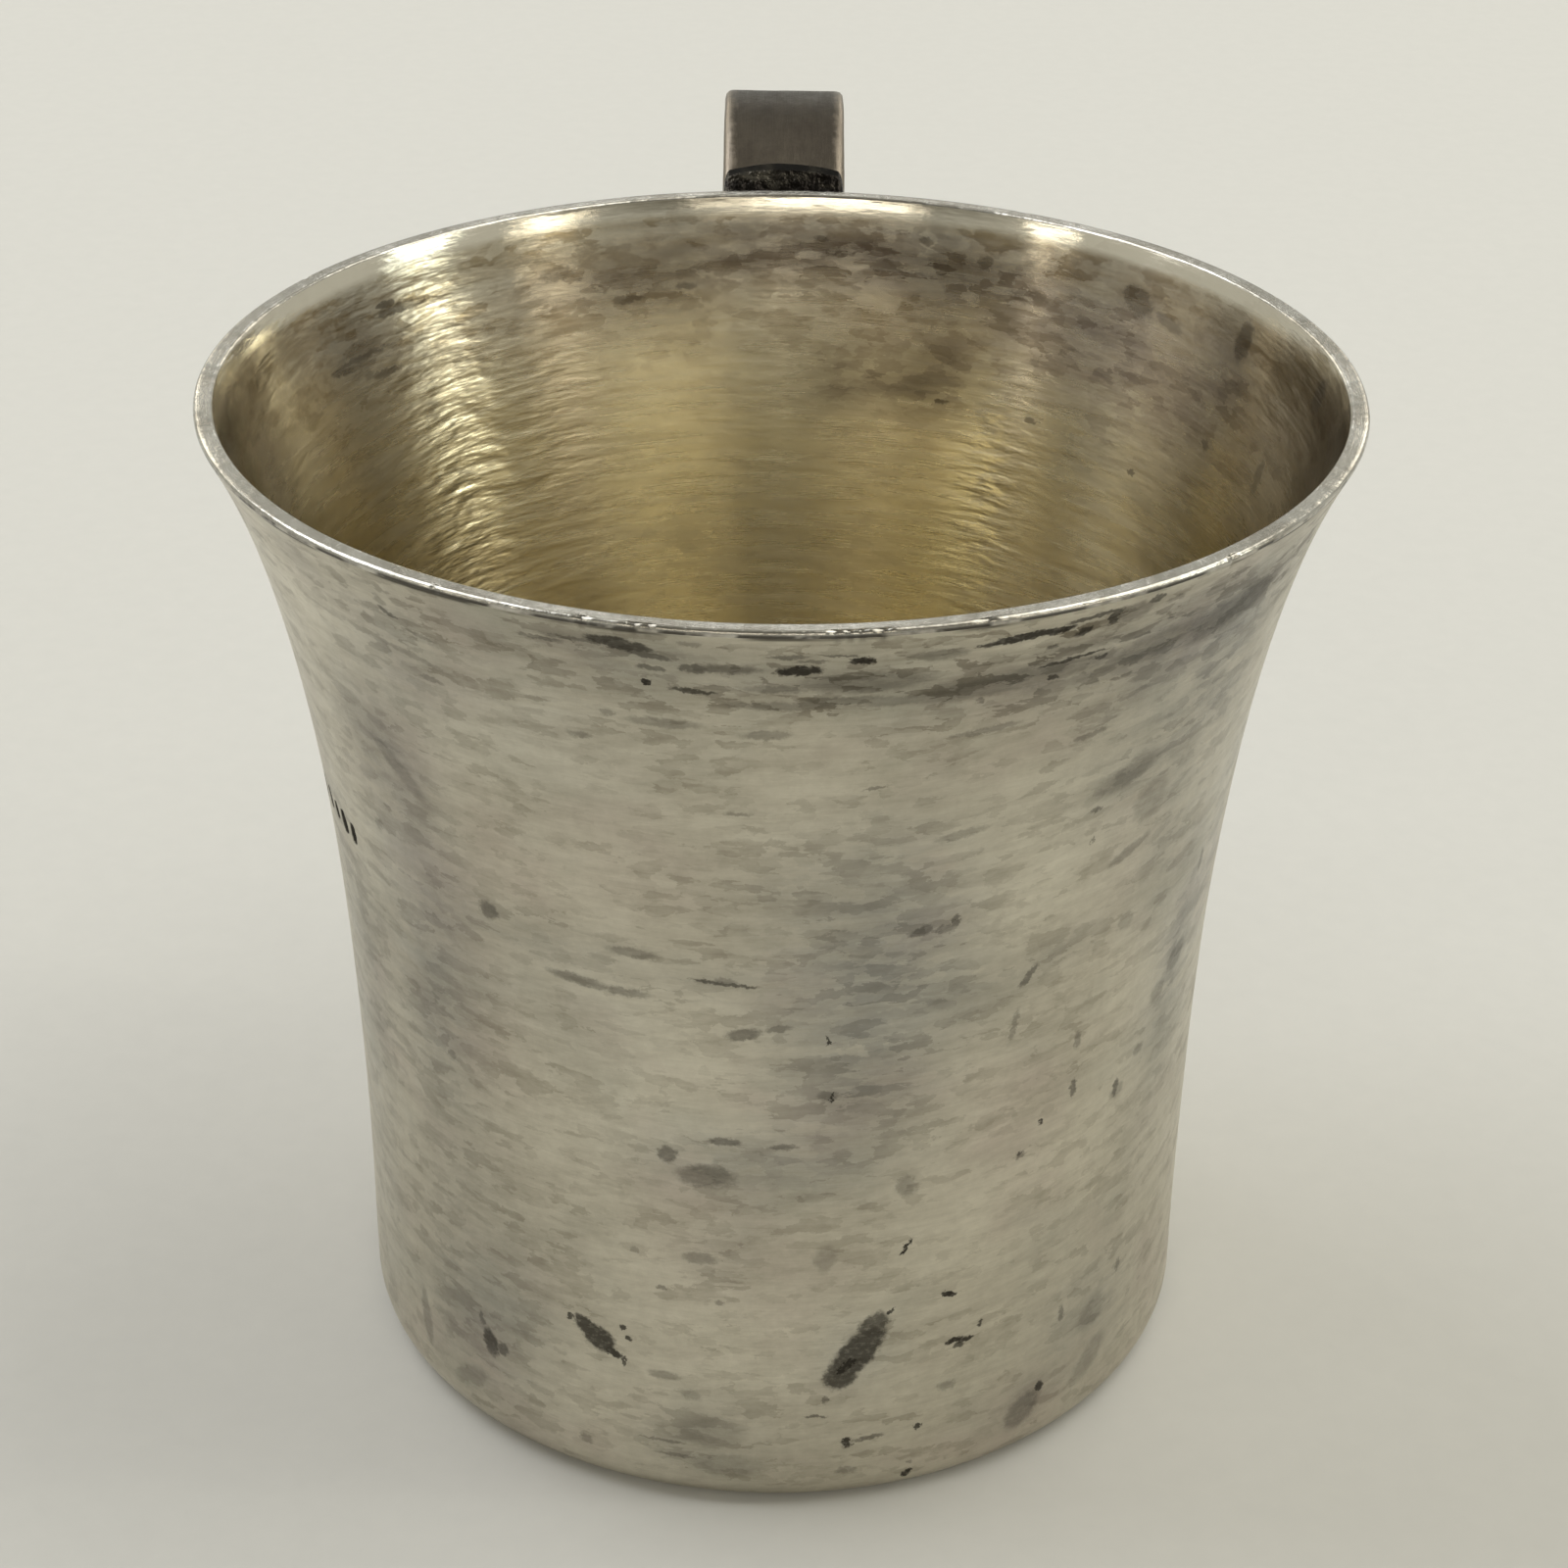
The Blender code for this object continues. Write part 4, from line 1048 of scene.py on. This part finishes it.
def strap_tree():
    """Sweeps a flat bar with rounded edges along a line, and lets its faces wander by a little, as hammered
    strip does. Each point keeps its share of the way along the line and round the bar."""
    tree, given, result = new_tree("swept strap", [
        ("Width", "Float"), ("Thickness", "Float"), ("Edge Round", "Float"), ("Steps Along", "Int"),
        ("Steps Round", "Int"), ("Trim", "Float"), ("Waviness", "Float"), ("Wave Length", "Float"),
        ("Seed", "Float"), ("Material", "Material")])
    line = add(tree, "GeometryNodeCurveLength", {"Curve": given["Geometry"]})
    last = add(tree, "ShaderNodeMath", {0: line, 1: given["Trim"]}, operation="SUBTRACT")
    cut = add(tree, "GeometryNodeTrimCurve",
              {"Curve": given["Geometry"], "Start": given["Trim"], "End": last},
              mode="LENGTH")
    path = add(tree, "GeometryNodeResampleCurve",
               {"Curve": cut, "Count": given["Steps Along"]}, mode="COUNT")
    sideways = add(tree, "GeometryNodeSetCurveNormal",
                   {"Curve": path, "Normal": (1.0, 0.0, 0.0)}, mode="FREE")
    travel = add(tree, "GeometryNodeSplineParameter")
    marked = add(tree, "GeometryNodeStoreNamedAttribute",
                 {"Geometry": sideways, "Name": "along", "Value": travel.outputs["Factor"]},
                 data_type="FLOAT", domain="POINT")
    bar = add(tree, "GeometryNodeCurvePrimitiveQuadrilateral",
              {"Width": given["Width"], "Height": given["Thickness"]})
    soft = add(tree, "GeometryNodeFilletCurve",
               {"Curve": bar, "Count": 8, "Radius": given["Edge Round"]}, mode="POLY")
    girth = add(tree, "GeometryNodeResampleCurve",
                {"Curve": soft, "Count": given["Steps Round"]}, mode="COUNT")
    marked_girth = add(tree, "GeometryNodeStoreNamedAttribute",
                       {"Geometry": girth, "Name": "girth", "Value": travel.outputs["Factor"]},
                       data_type="FLOAT", domain="POINT")
    swept = add(tree, "GeometryNodeCurveToMesh",
                {"Curve": marked, "Profile Curve": marked_girth, "Fill Caps": True})
    place = add(tree, "GeometryNodeInputPosition")
    swing = swing_at(tree, place, given, 2.0, 0.0)
    amount = weighed(tree, (swing, given["Waviness"]))
    real = pushed_out(tree, swept, add(tree, "GeometryNodeInputNormal"), amount)
    finished = add(tree, "GeometryNodeSetMaterial", {"Geometry": real, "Material": given["Material"]})
    tree.links.new(finished.outputs[0], result.inputs[0])
    return tree


def to_wall(point, direction, sink):
    """How far a point has to go along a direction to lie at the wall's outside, sunk into it by a little."""
    travelled = 0.0
    for _ in range(8):
        here = point + direction * travelled
        gap = math.hypot(here.x, here.y) - (outer_radius(here.z) - sink)
        steep = direction.y - outer_slope(here.z) * direction.z
        travelled -= gap / steep
    return travelled


def fit_ends(strap):
    """Each end of the strap is slanted to follow the wall, over its last few millimetres."""
    for joint, direction in strap_ends():
        for vert in strap.data.vertices:
            from_wall = (vert.co - joint).dot(direction)
            sideways = vert.co - joint - direction * from_wall
            if from_wall < END_BLEND and sideways.length < STRAP_AROUND:
                shift = to_wall(joint + sideways, direction, STRAP_SINK)
                vert.co += direction * (shift * (1 - smoothstep(0.0, END_BLEND, max(0.0, from_wall))))


def lay_out_map(strap):
    """A map of the strap's skin, along it and round it, whose seam isn't smeared over one row of faces."""
    mesh = strap.data
    along = [item.value for item in mesh.attributes["along"].data]
    girth = [item.value for item in mesh.attributes["girth"].data]
    layer = mesh.uv_layers.new(name="UVMap")
    for face in mesh.polygons:
        turns = [girth[mesh.loops[loop].vertex_index] for loop in face.loop_indices]
        seam = max(turns) - min(turns) > 0.5
        for loop, turn in zip(face.loop_indices, turns):
            v = turn + 1.0 if seam and turn < 0.5 else turn
            layer.data[loop].uv = (along[mesh.loops[loop].vertex_index], v)


def close_skirt(loops, name):
    """A closed ring mesh from cross-sections that each are a closed loop of points."""
    shape = bmesh.new()
    rows = [[shape.verts.new(point) for point in loop] for loop in loops]
    count = len(rows[0])
    for row, after in zip(rows, [*rows[1:], rows[0]]):
        for step in range(count):
            following = (step + 1) % count
            shape.faces.new((row[step], row[following], after[following], after[step]))
    bmesh.ops.recalc_face_normals(shape, faces=shape.faces)
    mesh = bpy.data.meshes.new(name)
    shape.to_mesh(mesh)
    shape.free()
    mesh.shade_smooth()
    return placed(name, mesh)


# Fineness of the solder, across it and round the strap
FILLET_STEPS = 10
FILLET_CORNER_STEPS = 10
FILLET_FACE_STEPS = 40
FILLET_SIDE_STEPS = 4

# How far the solder climbs the strap above, beside and below it, and how far it runs over the wall there
UPPER_REACH = (0.0046, 0.0024, 0.0016)
UPPER_SPREAD = (0.0004, 0.0002, 0.0010)
LOWER_REACH = (0.0014, 0.0011, 0.0014)
LOWER_SPREAD = (0.0010, 0.0008, 0.0010)
# The climb changes early between the strap's faces and its edges, and the run over the wall late
REACH_POWER = 0.4
SPREAD_POWER = 3
# How much both wander, and how many wanders there are to a metre
REACH_WANDER = 0.02
SPREAD_WANDER = 0.20
WANDERS = 300
# Solder stands this proud above the strap, is lumpy by this much at these two counts to a metre, lies this
# thin at its edges, and reaches this deep into the strap and the wall
SWELL = 0.00022
LUMP = 0.00006
LUMPS = 600
FINE_LUMPS = 1700
FINE_LUMP_SHARE = 0.4
EDGE_SINK = 0.00006
INTO_STRAP = 0.0003
INTO_WALL = 0.00035

# Lumps in the solder of the upper joint: place across the strap, half width and height
SOLDER_BEADS = [(-0.0036, 0.0006, 0.00026), (-0.0023, 0.0005, 0.00020), (0.0012, 0.0016, 0.00006)]


def solder_skirt(name, joint, direction, width, reach, spread, seed, beads=()):
    """Solder drawn up the strap and over the wall round a joint. reach is how far it climbs the strap
    above, beside and below it, spread how far it runs over the wall, and beads are its lumps."""
    across = Vector((1.0, 0.0, 0.0))
    over = across.cross(direction).normalized()
    if over.z < 0:
        over.negate()
    half_wide = width / 2 - STRAP_EDGE_ROUND
    half_thick = STRAP_THICKNESS / 2 - STRAP_EDGE_ROUND
    # Round the strap's section from the middle of its upper face: each core point is an edge round's depth
    # inside it
    corners = [Vector((x, y)) for x, y in ((half_wide, half_thick), (half_wide, -half_thick),
                                           (-half_wide, -half_thick), (-half_wide, half_thick))]
    outline = []
    for quarter, corner in enumerate(corners):
        for step in range(FILLET_CORNER_STEPS + 1):
            turn = math.pi / 2 * (quarter + step / FILLET_CORNER_STEPS)
            outline.append((corner, Vector((math.sin(turn), math.cos(turn)))))
        ahead = corners[(quarter + 1) % len(corners)]
        steps = FILLET_SIDE_STEPS if quarter % 2 == 0 else FILLET_FACE_STEPS
        facing = outline[-1][1]
        for step in range(1, steps):
            outline.append((corner.lerp(ahead, step / steps), facing))
    loops = []
    for core, facing in outline:
        upness = facing.y
        face = 0 if upness > 0 else 2
        along_reach = reach[1] + (reach[face] - reach[1]) * abs(upness) ** REACH_POWER
        along_spread = spread[1] + (spread[face] - spread[1]) * abs(upness) ** SPREAD_POWER
        place = Vector((core.x * WANDERS, core.y * WANDERS, seed))
        along_reach *= 1.0 + REACH_WANDER * noise.noise(place)
        along_spread *= 1.0 + SPREAD_WANDER * noise.noise(place + Vector((9.0, 4.0, 0.0)))
        skin = core + facing * STRAP_EDGE_ROUND
        outer = core + facing * (STRAP_EDGE_ROUND + along_spread)
        inner = core + facing * (STRAP_EDGE_ROUND - INTO_STRAP)

        def at(flat, lift, sink=0.0):
            base = joint + across * flat.x + over * flat.y
            return base + direction * (to_wall(base, direction, sink) + lift)

        top_point = at(skin - facing * EDGE_SINK, along_reach)
        wall_point = at(outer, 0.0, EDGE_SINK)
        foot = at(skin, 0.0)
        loop = []
        for step in range(FILLET_STEPS + 1):
            share = step / FILLET_STEPS
            point = top_point * (1 - share) ** 2 + foot * (2 * share * (1 - share)) + wall_point * share**2
            lump = noise.noise(point * LUMPS + Vector((0.0, 0.0, seed)))
            lump += FINE_LUMP_SHARE * noise.noise(point * FINE_LUMPS)
            bead = sum(size * math.exp(-((core.x - x) / half) ** 2) for x, half, size in beads if upness > 0)
            swell = math.sin(math.pi * share) * (SWELL * max(upness, 0.0) ** 0.5 + LUMP * lump + bead)
            normal = (across * facing.x + over * facing.y + direction).normalized()
            loop.append(point + normal * swell)
        loop.append(at(outer - facing * INTO_STRAP, 0.0, INTO_WALL))
        loop.append(at(inner, 0.0, INTO_WALL))
        loop.append(at(inner, along_reach - INTO_STRAP))
        loops.append(loop)
    return close_skirt(loops, name)


def tarnished_strap(look):
    """Sterling silver strip, hammered and filed, and seldom rubbed: dark grey-brown tarnish over its broad
    faces, with paler metal showing through along its rounded edges and in fine lengthwise scratches."""
    made, tree, shader = metal("dark_tarnished_silver")
    space = in_space(tree)
    parts = add(tree, "ShaderNodeSeparateXYZ", {"Vector": space})
    run = add(tree, "ShaderNodeAttribute", attribute_name="along")
    lengthwise = weighed(tree, (run.outputs["Fac"], STRAP_LENGTH * MM))
    # In millimetres across, along and through the strap
    laid = add(tree, "ShaderNodeCombineXYZ",
               {"X": parts.outputs["X"], "Y": lengthwise, "Z": parts.outputs["Z"]})
    clouds = grain(tree, space, (7, 7, 7), low=0.36, high=0.66, shift=12)
    smears = grain(tree, laid, (0.9, 6, 6), detail=4, roughness=0.6, low=0.40, high=0.70, shift=31)
    scratches = grain(tree, laid, (0.12, 5, 5), detail=4, roughness=0.7, low=0.32, high=0.70, shift=8)
    mottle = grain(tree, space, (0.9, 0.9, 0.9), detail=4, roughness=0.7, low=0.35, high=0.65, shift=77)
    aside = add(tree, "ShaderNodeMath", {0: parts.outputs["X"]}, operation="ABSOLUTE")
    wander = weighed(tree, (mottle, 0.35), (smears, 0.30))
    aside = add(tree, "ShaderNodeMath", {0: aside, 1: wander}, operation="ADD")
    edge = add(tree, "ShaderNodeMapRange",
               {"Value": aside, "From Min": STRAP_RUBBED_FROM * MM, "From Max": STRAP_RUBBED_TO * MM},
               interpolation_type="SMOOTHSTEP")
    colour = tinted(tree, clouds, (*look.strap, 1.0), linear("#3e3831"))
    colour = tinted(tree, weighed(tree, (smears, 0.35)), colour, linear("#5a5348"))
    colour = tinted(tree, weighed(tree, (scratches, 0.14)), colour, linear("#716a5d"))
    colour = tinted(tree, weighed(tree, (mottle, 0.25)), colour, linear("#302b26"))
    colour = tinted(tree, weighed(tree, (edge, 0.80)), colour, (*look.rubbed_edge, 1.0))
    rough = weighed(tree, (clouds, 0.08), (scratches, 0.10), (mottle, 0.10), (edge, -0.06))
    depth = weighed(tree, (scratches, 0.5), (mottle, 0.6), (smears, 0.2))
    lay_on(tree, shader, colour, rough, 0.28, depth, 0.4)
    return made


def dark_solder(look):
    """Silver solder, run in with a torch and never polished: glossy, nearly black, and greyer in clouds."""
    made, tree, shader = metal("fire_darkened_solder")
    space = in_space(tree)
    clouds = grain(tree, space, (2.2, 2.2, 1.2), low=0.48, high=0.72, shift=5)
    lumps = grain(tree, space, (0.8, 0.8, 0.5), roughness=0.6, low=0.3, high=0.7, shift=19)
    colour = tinted(tree, weighed(tree, (clouds, 0.6)), (*look.solder, 1.0), linear("#6b665a"))
    rough = weighed(tree, (lumps, 0.12), (clouds, 0.12))
    lay_on(tree, shader, colour, rough, 0.14, lumps, 0.6, SOLDER_RELIEF)
    return made


# Floor, lights and camera

FLOOR_HALF_WIDTH = 3.0
FLOOR_BELOW = 0.00005
AIM = Vector((0.0, 0.0, 0.05))

# The way to the dark part of the room, and how closely a direction agrees with it where the dark begins and
# is whole
DARK_AIR = (0.0, -0.45, 0.89)
DARK_AIR_FROM = 0.55
DARK_AIR_WHOLE = 0.92

# Flat lights: name, degrees from the camera's side towards +X and degrees up, distance, width and height,
# and how much of which setting's brightness they have in which colour
CARDS = [
    ("softbox_right", 105, 58, 1.6, 1.3, 1.1, 1.0, "softbox", "#fffdf6"),
    ("softbox_left", -115, 50, 1.7, 1.2, 1.1, 1.25, "softbox", "#f9fbff"),
    # The right side's window shows in the inside as a tall patch near the rim and a thin streak below it
    ("window_right", 87, 22, 1.2, 0.25, 0.46, 0.22, "window", "#f8fff6"),
    ("window_right_strip", 86, 26, 1.2, 0.05, 0.26, 1.7, "window", "#fffbe8"),
    ("window_far_right", 55, 25, 1.3, 0.26, 0.36, 0.22, "window", "#fff6e2"),
    ("window_front", -14, 35, 1.4, 0.70, 0.24, 0.25, "window", "#fff8ea"),
    ("window_front_fill", 9, 33, 1.4, 0.44, 0.34, 0.12, "window", "#fff8ea"),
    ("window_front_left", -64, 28, 1.4, 0.26, 0.26, 0.26, "window", "#fff8ea"),
    ("window_front_left_strip", -60, 14, 1.4, 0.05, 0.20, 0.5, "window", "#fff8ea"),
    ("window_back", 180, 26, 1.5, 0.30, 0.09, 0.34, "window", "#ffffff"),
    # The left and right of the inside mirror the room behind the cup
    ("window_back_right", 149, 20, 1.5, 0.70, 0.34, 0.23, "window", "#fff8ea"),
    ("window_back_left", -149, 20, 1.5, 0.70, 0.34, 0.23, "window", "#fff8ea"),
]


def pale_floor(look):
    """Matt pale board, with the faint unevenness of its pulp."""
    made = bpy.data.materials.new("matt_pale_board")
    made.use_nodes = True
    tree = made.node_tree
    shader = tree.nodes["Principled BSDF"]
    space = in_space(tree)
    pulp = grain(tree, space, (2.5, 2.5, 2.5), detail=4, roughness=0.6)
    colour = tinted(tree, weighed(tree, (pulp, 0.12)), (*look.floor, 1.0), linear("#dedcd6"))
    tree.links.new(colour, shader.inputs["Base Color"])
    shader.inputs["Roughness"].default_value = 0.9
    shader.inputs["Specular IOR Level"].default_value = 0.2
    return made


def card(name, azimuth, elevation, distance, width, height, brightness, colour):
    """A flat light that faces the cup. Azimuth is in degrees from the camera's side towards +X."""
    turn, rise = math.radians(azimuth), math.radians(elevation)
    towards = Vector((math.sin(turn) * math.cos(rise), -math.cos(turn) * math.cos(rise), math.sin(rise)))
    data = bpy.data.lights.new(name, "AREA")
    data.shape = "RECTANGLE"
    data.size = width
    data.size_y = height
    data.energy = brightness * math.pi * width * height
    data.color = linear(colour)[:3]
    made = placed(name, data)
    made.rotation_euler = towards.to_track_quat("Z", "Y").to_euler()
    made.location = AIM + towards * distance


def studio_air(brightness):
    """The room's soft light: an even pale grey that is darker high up in front, where the camera stands."""
    world = bpy.data.worlds.new("soft studio")
    bpy.context.scene.world = world
    world.use_nodes = True
    tree = world.node_tree
    background = tree.nodes["Background"]
    coords = add(tree, "ShaderNodeTexCoord")
    agree = add(tree, "ShaderNodeVectorMath",
                {0: coords.outputs["Generated"], 1: DARK_AIR}, operation="DOT_PRODUCT")
    shade = add(tree, "ShaderNodeMapRange",
                {"Value": agree.outputs["Value"], "From Min": DARK_AIR_FROM, "From Max": DARK_AIR_WHOLE},
                interpolation_type="SMOOTHSTEP")
    colour = tinted(tree, shade, linear("#b4b4ad"), linear("#6e6c64"))
    tree.links.new(colour, background.inputs["Color"])
    background.inputs["Strength"].default_value = brightness


# Settings in the sidebar


def length(name, description, default):
    return bpy.props.FloatProperty(name=name, description=description, default=default, unit="LENGTH")


def brightness(name, description, default):
    return bpy.props.FloatProperty(name=name, description=description, default=default, min=0.0)


def colour(name, description, code):
    return bpy.props.FloatVectorProperty(name=name, description=description, default=linear(code)[:3],
                                         size=3, subtype="COLOR", min=0.0, max=1.0)


class CupLook(bpy.types.PropertyGroup):
    """Sizes and colours of the cup's body."""
    waviness: length("Waviness", "How far the sheet wanders from a true turned form", 0.00004)
    wave_length: length("Wave length", "Distance between the sheet's low swells", 0.018)
    stroke_height: length("Stroke height", "Height of the engraved strokes", 0.0017)
    stroke_depth: length("Stroke depth", "Depth of the engraved strokes", 0.00020)
    stroke_pitch: length("Stroke pitch", "Distance from one stroke to the next", 0.00185)
    stroke_width: length("Stroke width", "Width of a stroke at its middle", 0.00135)
    silver: colour("Silver", "The worn outside's cleanest metal", "#d6d0bf")
    tarnish: colour("Tarnish", "The thin warm tarnish", "#7b7260")
    sulphide: colour("Sulphide", "The dark spots and the engraving's fill", "#2a2621")
    lip: colour("Lip", "The rubbed lip", "#cfccc3")
    inside: colour("Inside", "The warm inside", "#ded4b2")
    inside_rim: colour("Inside near the rim", "The inside near the rim", "#c9c1ae")


class HandleLook(bpy.types.PropertyGroup):
    """Sizes and colours of the handle and its solder."""
    width: length("Strap width", "Width of the strap, as the part has it", STRAP_HIGH[0] - STRAP_LOW[0])
    thickness: length("Strap thickness", "Thickness of the strap", STRAP_THICKNESS)
    waviness: length("Waviness", "Depth of the hammer's traces in the strap", 0.00006)
    strap: colour("Strap", "The strap's tarnish", "#4e483f")
    rubbed_edge: colour("Rubbed edge", "Paler metal along the strap's edges", "#8d8375")
    solder: colour("Solder", "The dark solder", "#221f1c")


class StudioLook(bpy.types.PropertyGroup):
    """The floor and the light."""
    floor: colour("Floor", "The floor's colour", "#cccbc6")
    air: brightness("Air", "Brightness of the even light from all round", 1.18)
    softbox: brightness("Soft boxes", "Brightness of the two large soft lights", 2.5)
    window: brightness("Windows", "Brightness of the small lights that glint in the cup", 9.0)


class CUP_OT_make_body(bpy.types.Operator):
    """Makes the turned body with its relief and finishes"""
    bl_idname = "cup.make_body"
    bl_label = "Make body"

    def execute(self, context):
        look = context.scene.cup_look
        values = {
            "Columns": COLUMNS, "Rows": len(PROFILE), "Seed": 3.0, "Still Below": STILL_BELOW,
            "Waviness": look.waviness, "Wave Length": look.wave_length,
            "Lip From": DISTANCES[LIP_FIRST] / PROFILE_LENGTH,
            "Lip To": DISTANCES[LIP_LAST] / PROFILE_LENGTH,
            "Outside": worn_silver(look), "Lip": rubbed_silver(look), "Inside": gilt_silver(look)}
        cup = made_by(turning_tree(), values, profile_mesh(), "silver_body_shell")
        cut_relief(cup, look)
        lay_patches(cup)
        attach(cup, BODY)
        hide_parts("cup_body")
        return {"FINISHED"}


class CUP_OT_make_handle(bpy.types.Operator):
    """Makes the strap handle, from the wall out and back to it"""
    bl_idname = "cup.make_handle"
    bl_label = "Make handle"

    def execute(self, context):
        look = context.scene.handle_look
        values = {
            "Width": look.width, "Thickness": look.thickness, "Edge Round": STRAP_EDGE_ROUND,
            "Steps Along": STRAP_STEPS, "Steps Round": GIRTH_STEPS, "Trim": END_ALLOWANCE,
            "Waviness": look.waviness, "Wave Length": STRAP_WAVE_LENGTH, "Seed": 8.0,
            "Material": tarnished_strap(look)}
        strap = made_by(strap_tree(), values, strap_line(), "strap_handle")
        fit_ends(strap)
        lay_out_map(strap)
        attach(strap, BODY)
        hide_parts("handle_strap")
        return {"FINISHED"}


class CUP_OT_make_solder(bpy.types.Operator):
    """Makes the solder at the strap's upper and lower joints"""
    bl_idname = "cup.make_solder"
    bl_label = "Make solder"

    def execute(self, context):
        look = context.scene.handle_look
        finish = dark_solder(look)
        (upper, out), (lower, back) = strap_ends()
        above = solder_skirt("solder_upper", upper, out, look.width, UPPER_REACH, UPPER_SPREAD, 1.0,
                             SOLDER_BEADS)
        below = solder_skirt("solder_lower", lower, back, look.width, LOWER_REACH, LOWER_SPREAD, 5.0)
        for piece in (above, below):
            piece.data.materials.append(finish)
            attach(piece, BODY)
        return {"FINISHED"}


class CUP_OT_make_stage(bpy.types.Operator):
    """Makes the floor, the lights and the camera"""
    bl_idname = "cup.make_stage"
    bl_label = "Make stage"

    def execute(self, context):
        look = context.scene.studio_look
        shape = bmesh.new()
        bmesh.ops.create_grid(shape, x_segments=1, y_segments=1, size=FLOOR_HALF_WIDTH)
        bmesh.ops.translate(shape, verts=shape.verts, vec=(0.0, 0.0, -FLOOR_BELOW))
        mesh = bpy.data.meshes.new("floor")
        shape.to_mesh(mesh)
        shape.free()
        floor = placed("floor", mesh)
        mesh.materials.append(pale_floor(look))
        studio_air(look.air)
        for name, azimuth, elevation, distance, width, height, share, setting, colour in CARDS:
            brightness = getattr(look, setting) * share
            card(name, azimuth, elevation, distance, width, height, brightness, colour)
        data = bpy.data.cameras.new("camera")
        data.lens = LENS
        data.sensor_width = SENSOR
        camera = placed("camera", data)
        forward = Vector((math.sin(CAMERA_YAW) * math.cos(CAMERA_PITCH),
                          math.cos(CAMERA_YAW) * math.cos(CAMERA_PITCH), -math.sin(CAMERA_PITCH)))
        level = Vector((math.cos(CAMERA_YAW), -math.sin(CAMERA_YAW), 0.0))
        upright = level.cross(forward)
        right = level * math.cos(CAMERA_ROLL) + upright * math.sin(CAMERA_ROLL)
        up = upright * math.cos(CAMERA_ROLL) - level * math.sin(CAMERA_ROLL)
        turn = Matrix((right, up, -forward)).transposed()
        camera.matrix_world = Matrix.Translation(CAMERA_PLACE) @ turn.to_4x4()
        context.scene.camera = camera
        # Colours come out as they are set, without a film's toe and shoulder
        context.scene.view_settings.view_transform = "Standard"
        return {"FINISHED"}


class CUP_PT_panel(bpy.types.Panel):
    """Lists the cup's pieces and their settings"""
    bl_label = "Silver cup"
    bl_idname = "CUP_PT_panel"
    bl_space_type = "VIEW_3D"
    bl_region_type = "UI"
    bl_category = "Silver cup"

    def draw(self, context):
        scene = context.scene
        for look, operators in ((scene.cup_look, ("cup.make_body",)),
                                (scene.handle_look, ("cup.make_handle", "cup.make_solder")),
                                (scene.studio_look, ("cup.make_stage",))):
            box = self.layout.box()
            for name in look.__annotations__:
                box.prop(look, name)
            for operator in operators:
                box.operator(operator)


GROUPS = {"cup_look": CupLook, "handle_look": HandleLook, "studio_look": StudioLook}
CLASSES = (CUP_OT_make_body, CUP_OT_make_handle, CUP_OT_make_solder, CUP_OT_make_stage, CUP_PT_panel)


def register():
    for name, group in GROUPS.items():
        bpy.utils.register_class(group)
        setattr(bpy.types.Scene, name, bpy.props.PointerProperty(type=group))
    for made in CLASSES:
        bpy.utils.register_class(made)


def unregister():
    for made in reversed(CLASSES):
        bpy.utils.unregister_class(made)
    for name, group in GROUPS.items():
        delattr(bpy.types.Scene, name)
        bpy.utils.unregister_class(group)


def main():
    register()
    bpy.ops.cup.make_stage()
    bpy.ops.cup.make_body()
    bpy.ops.cup.make_handle()
    bpy.ops.cup.make_solder()


if __name__ == "__main__":
    main()
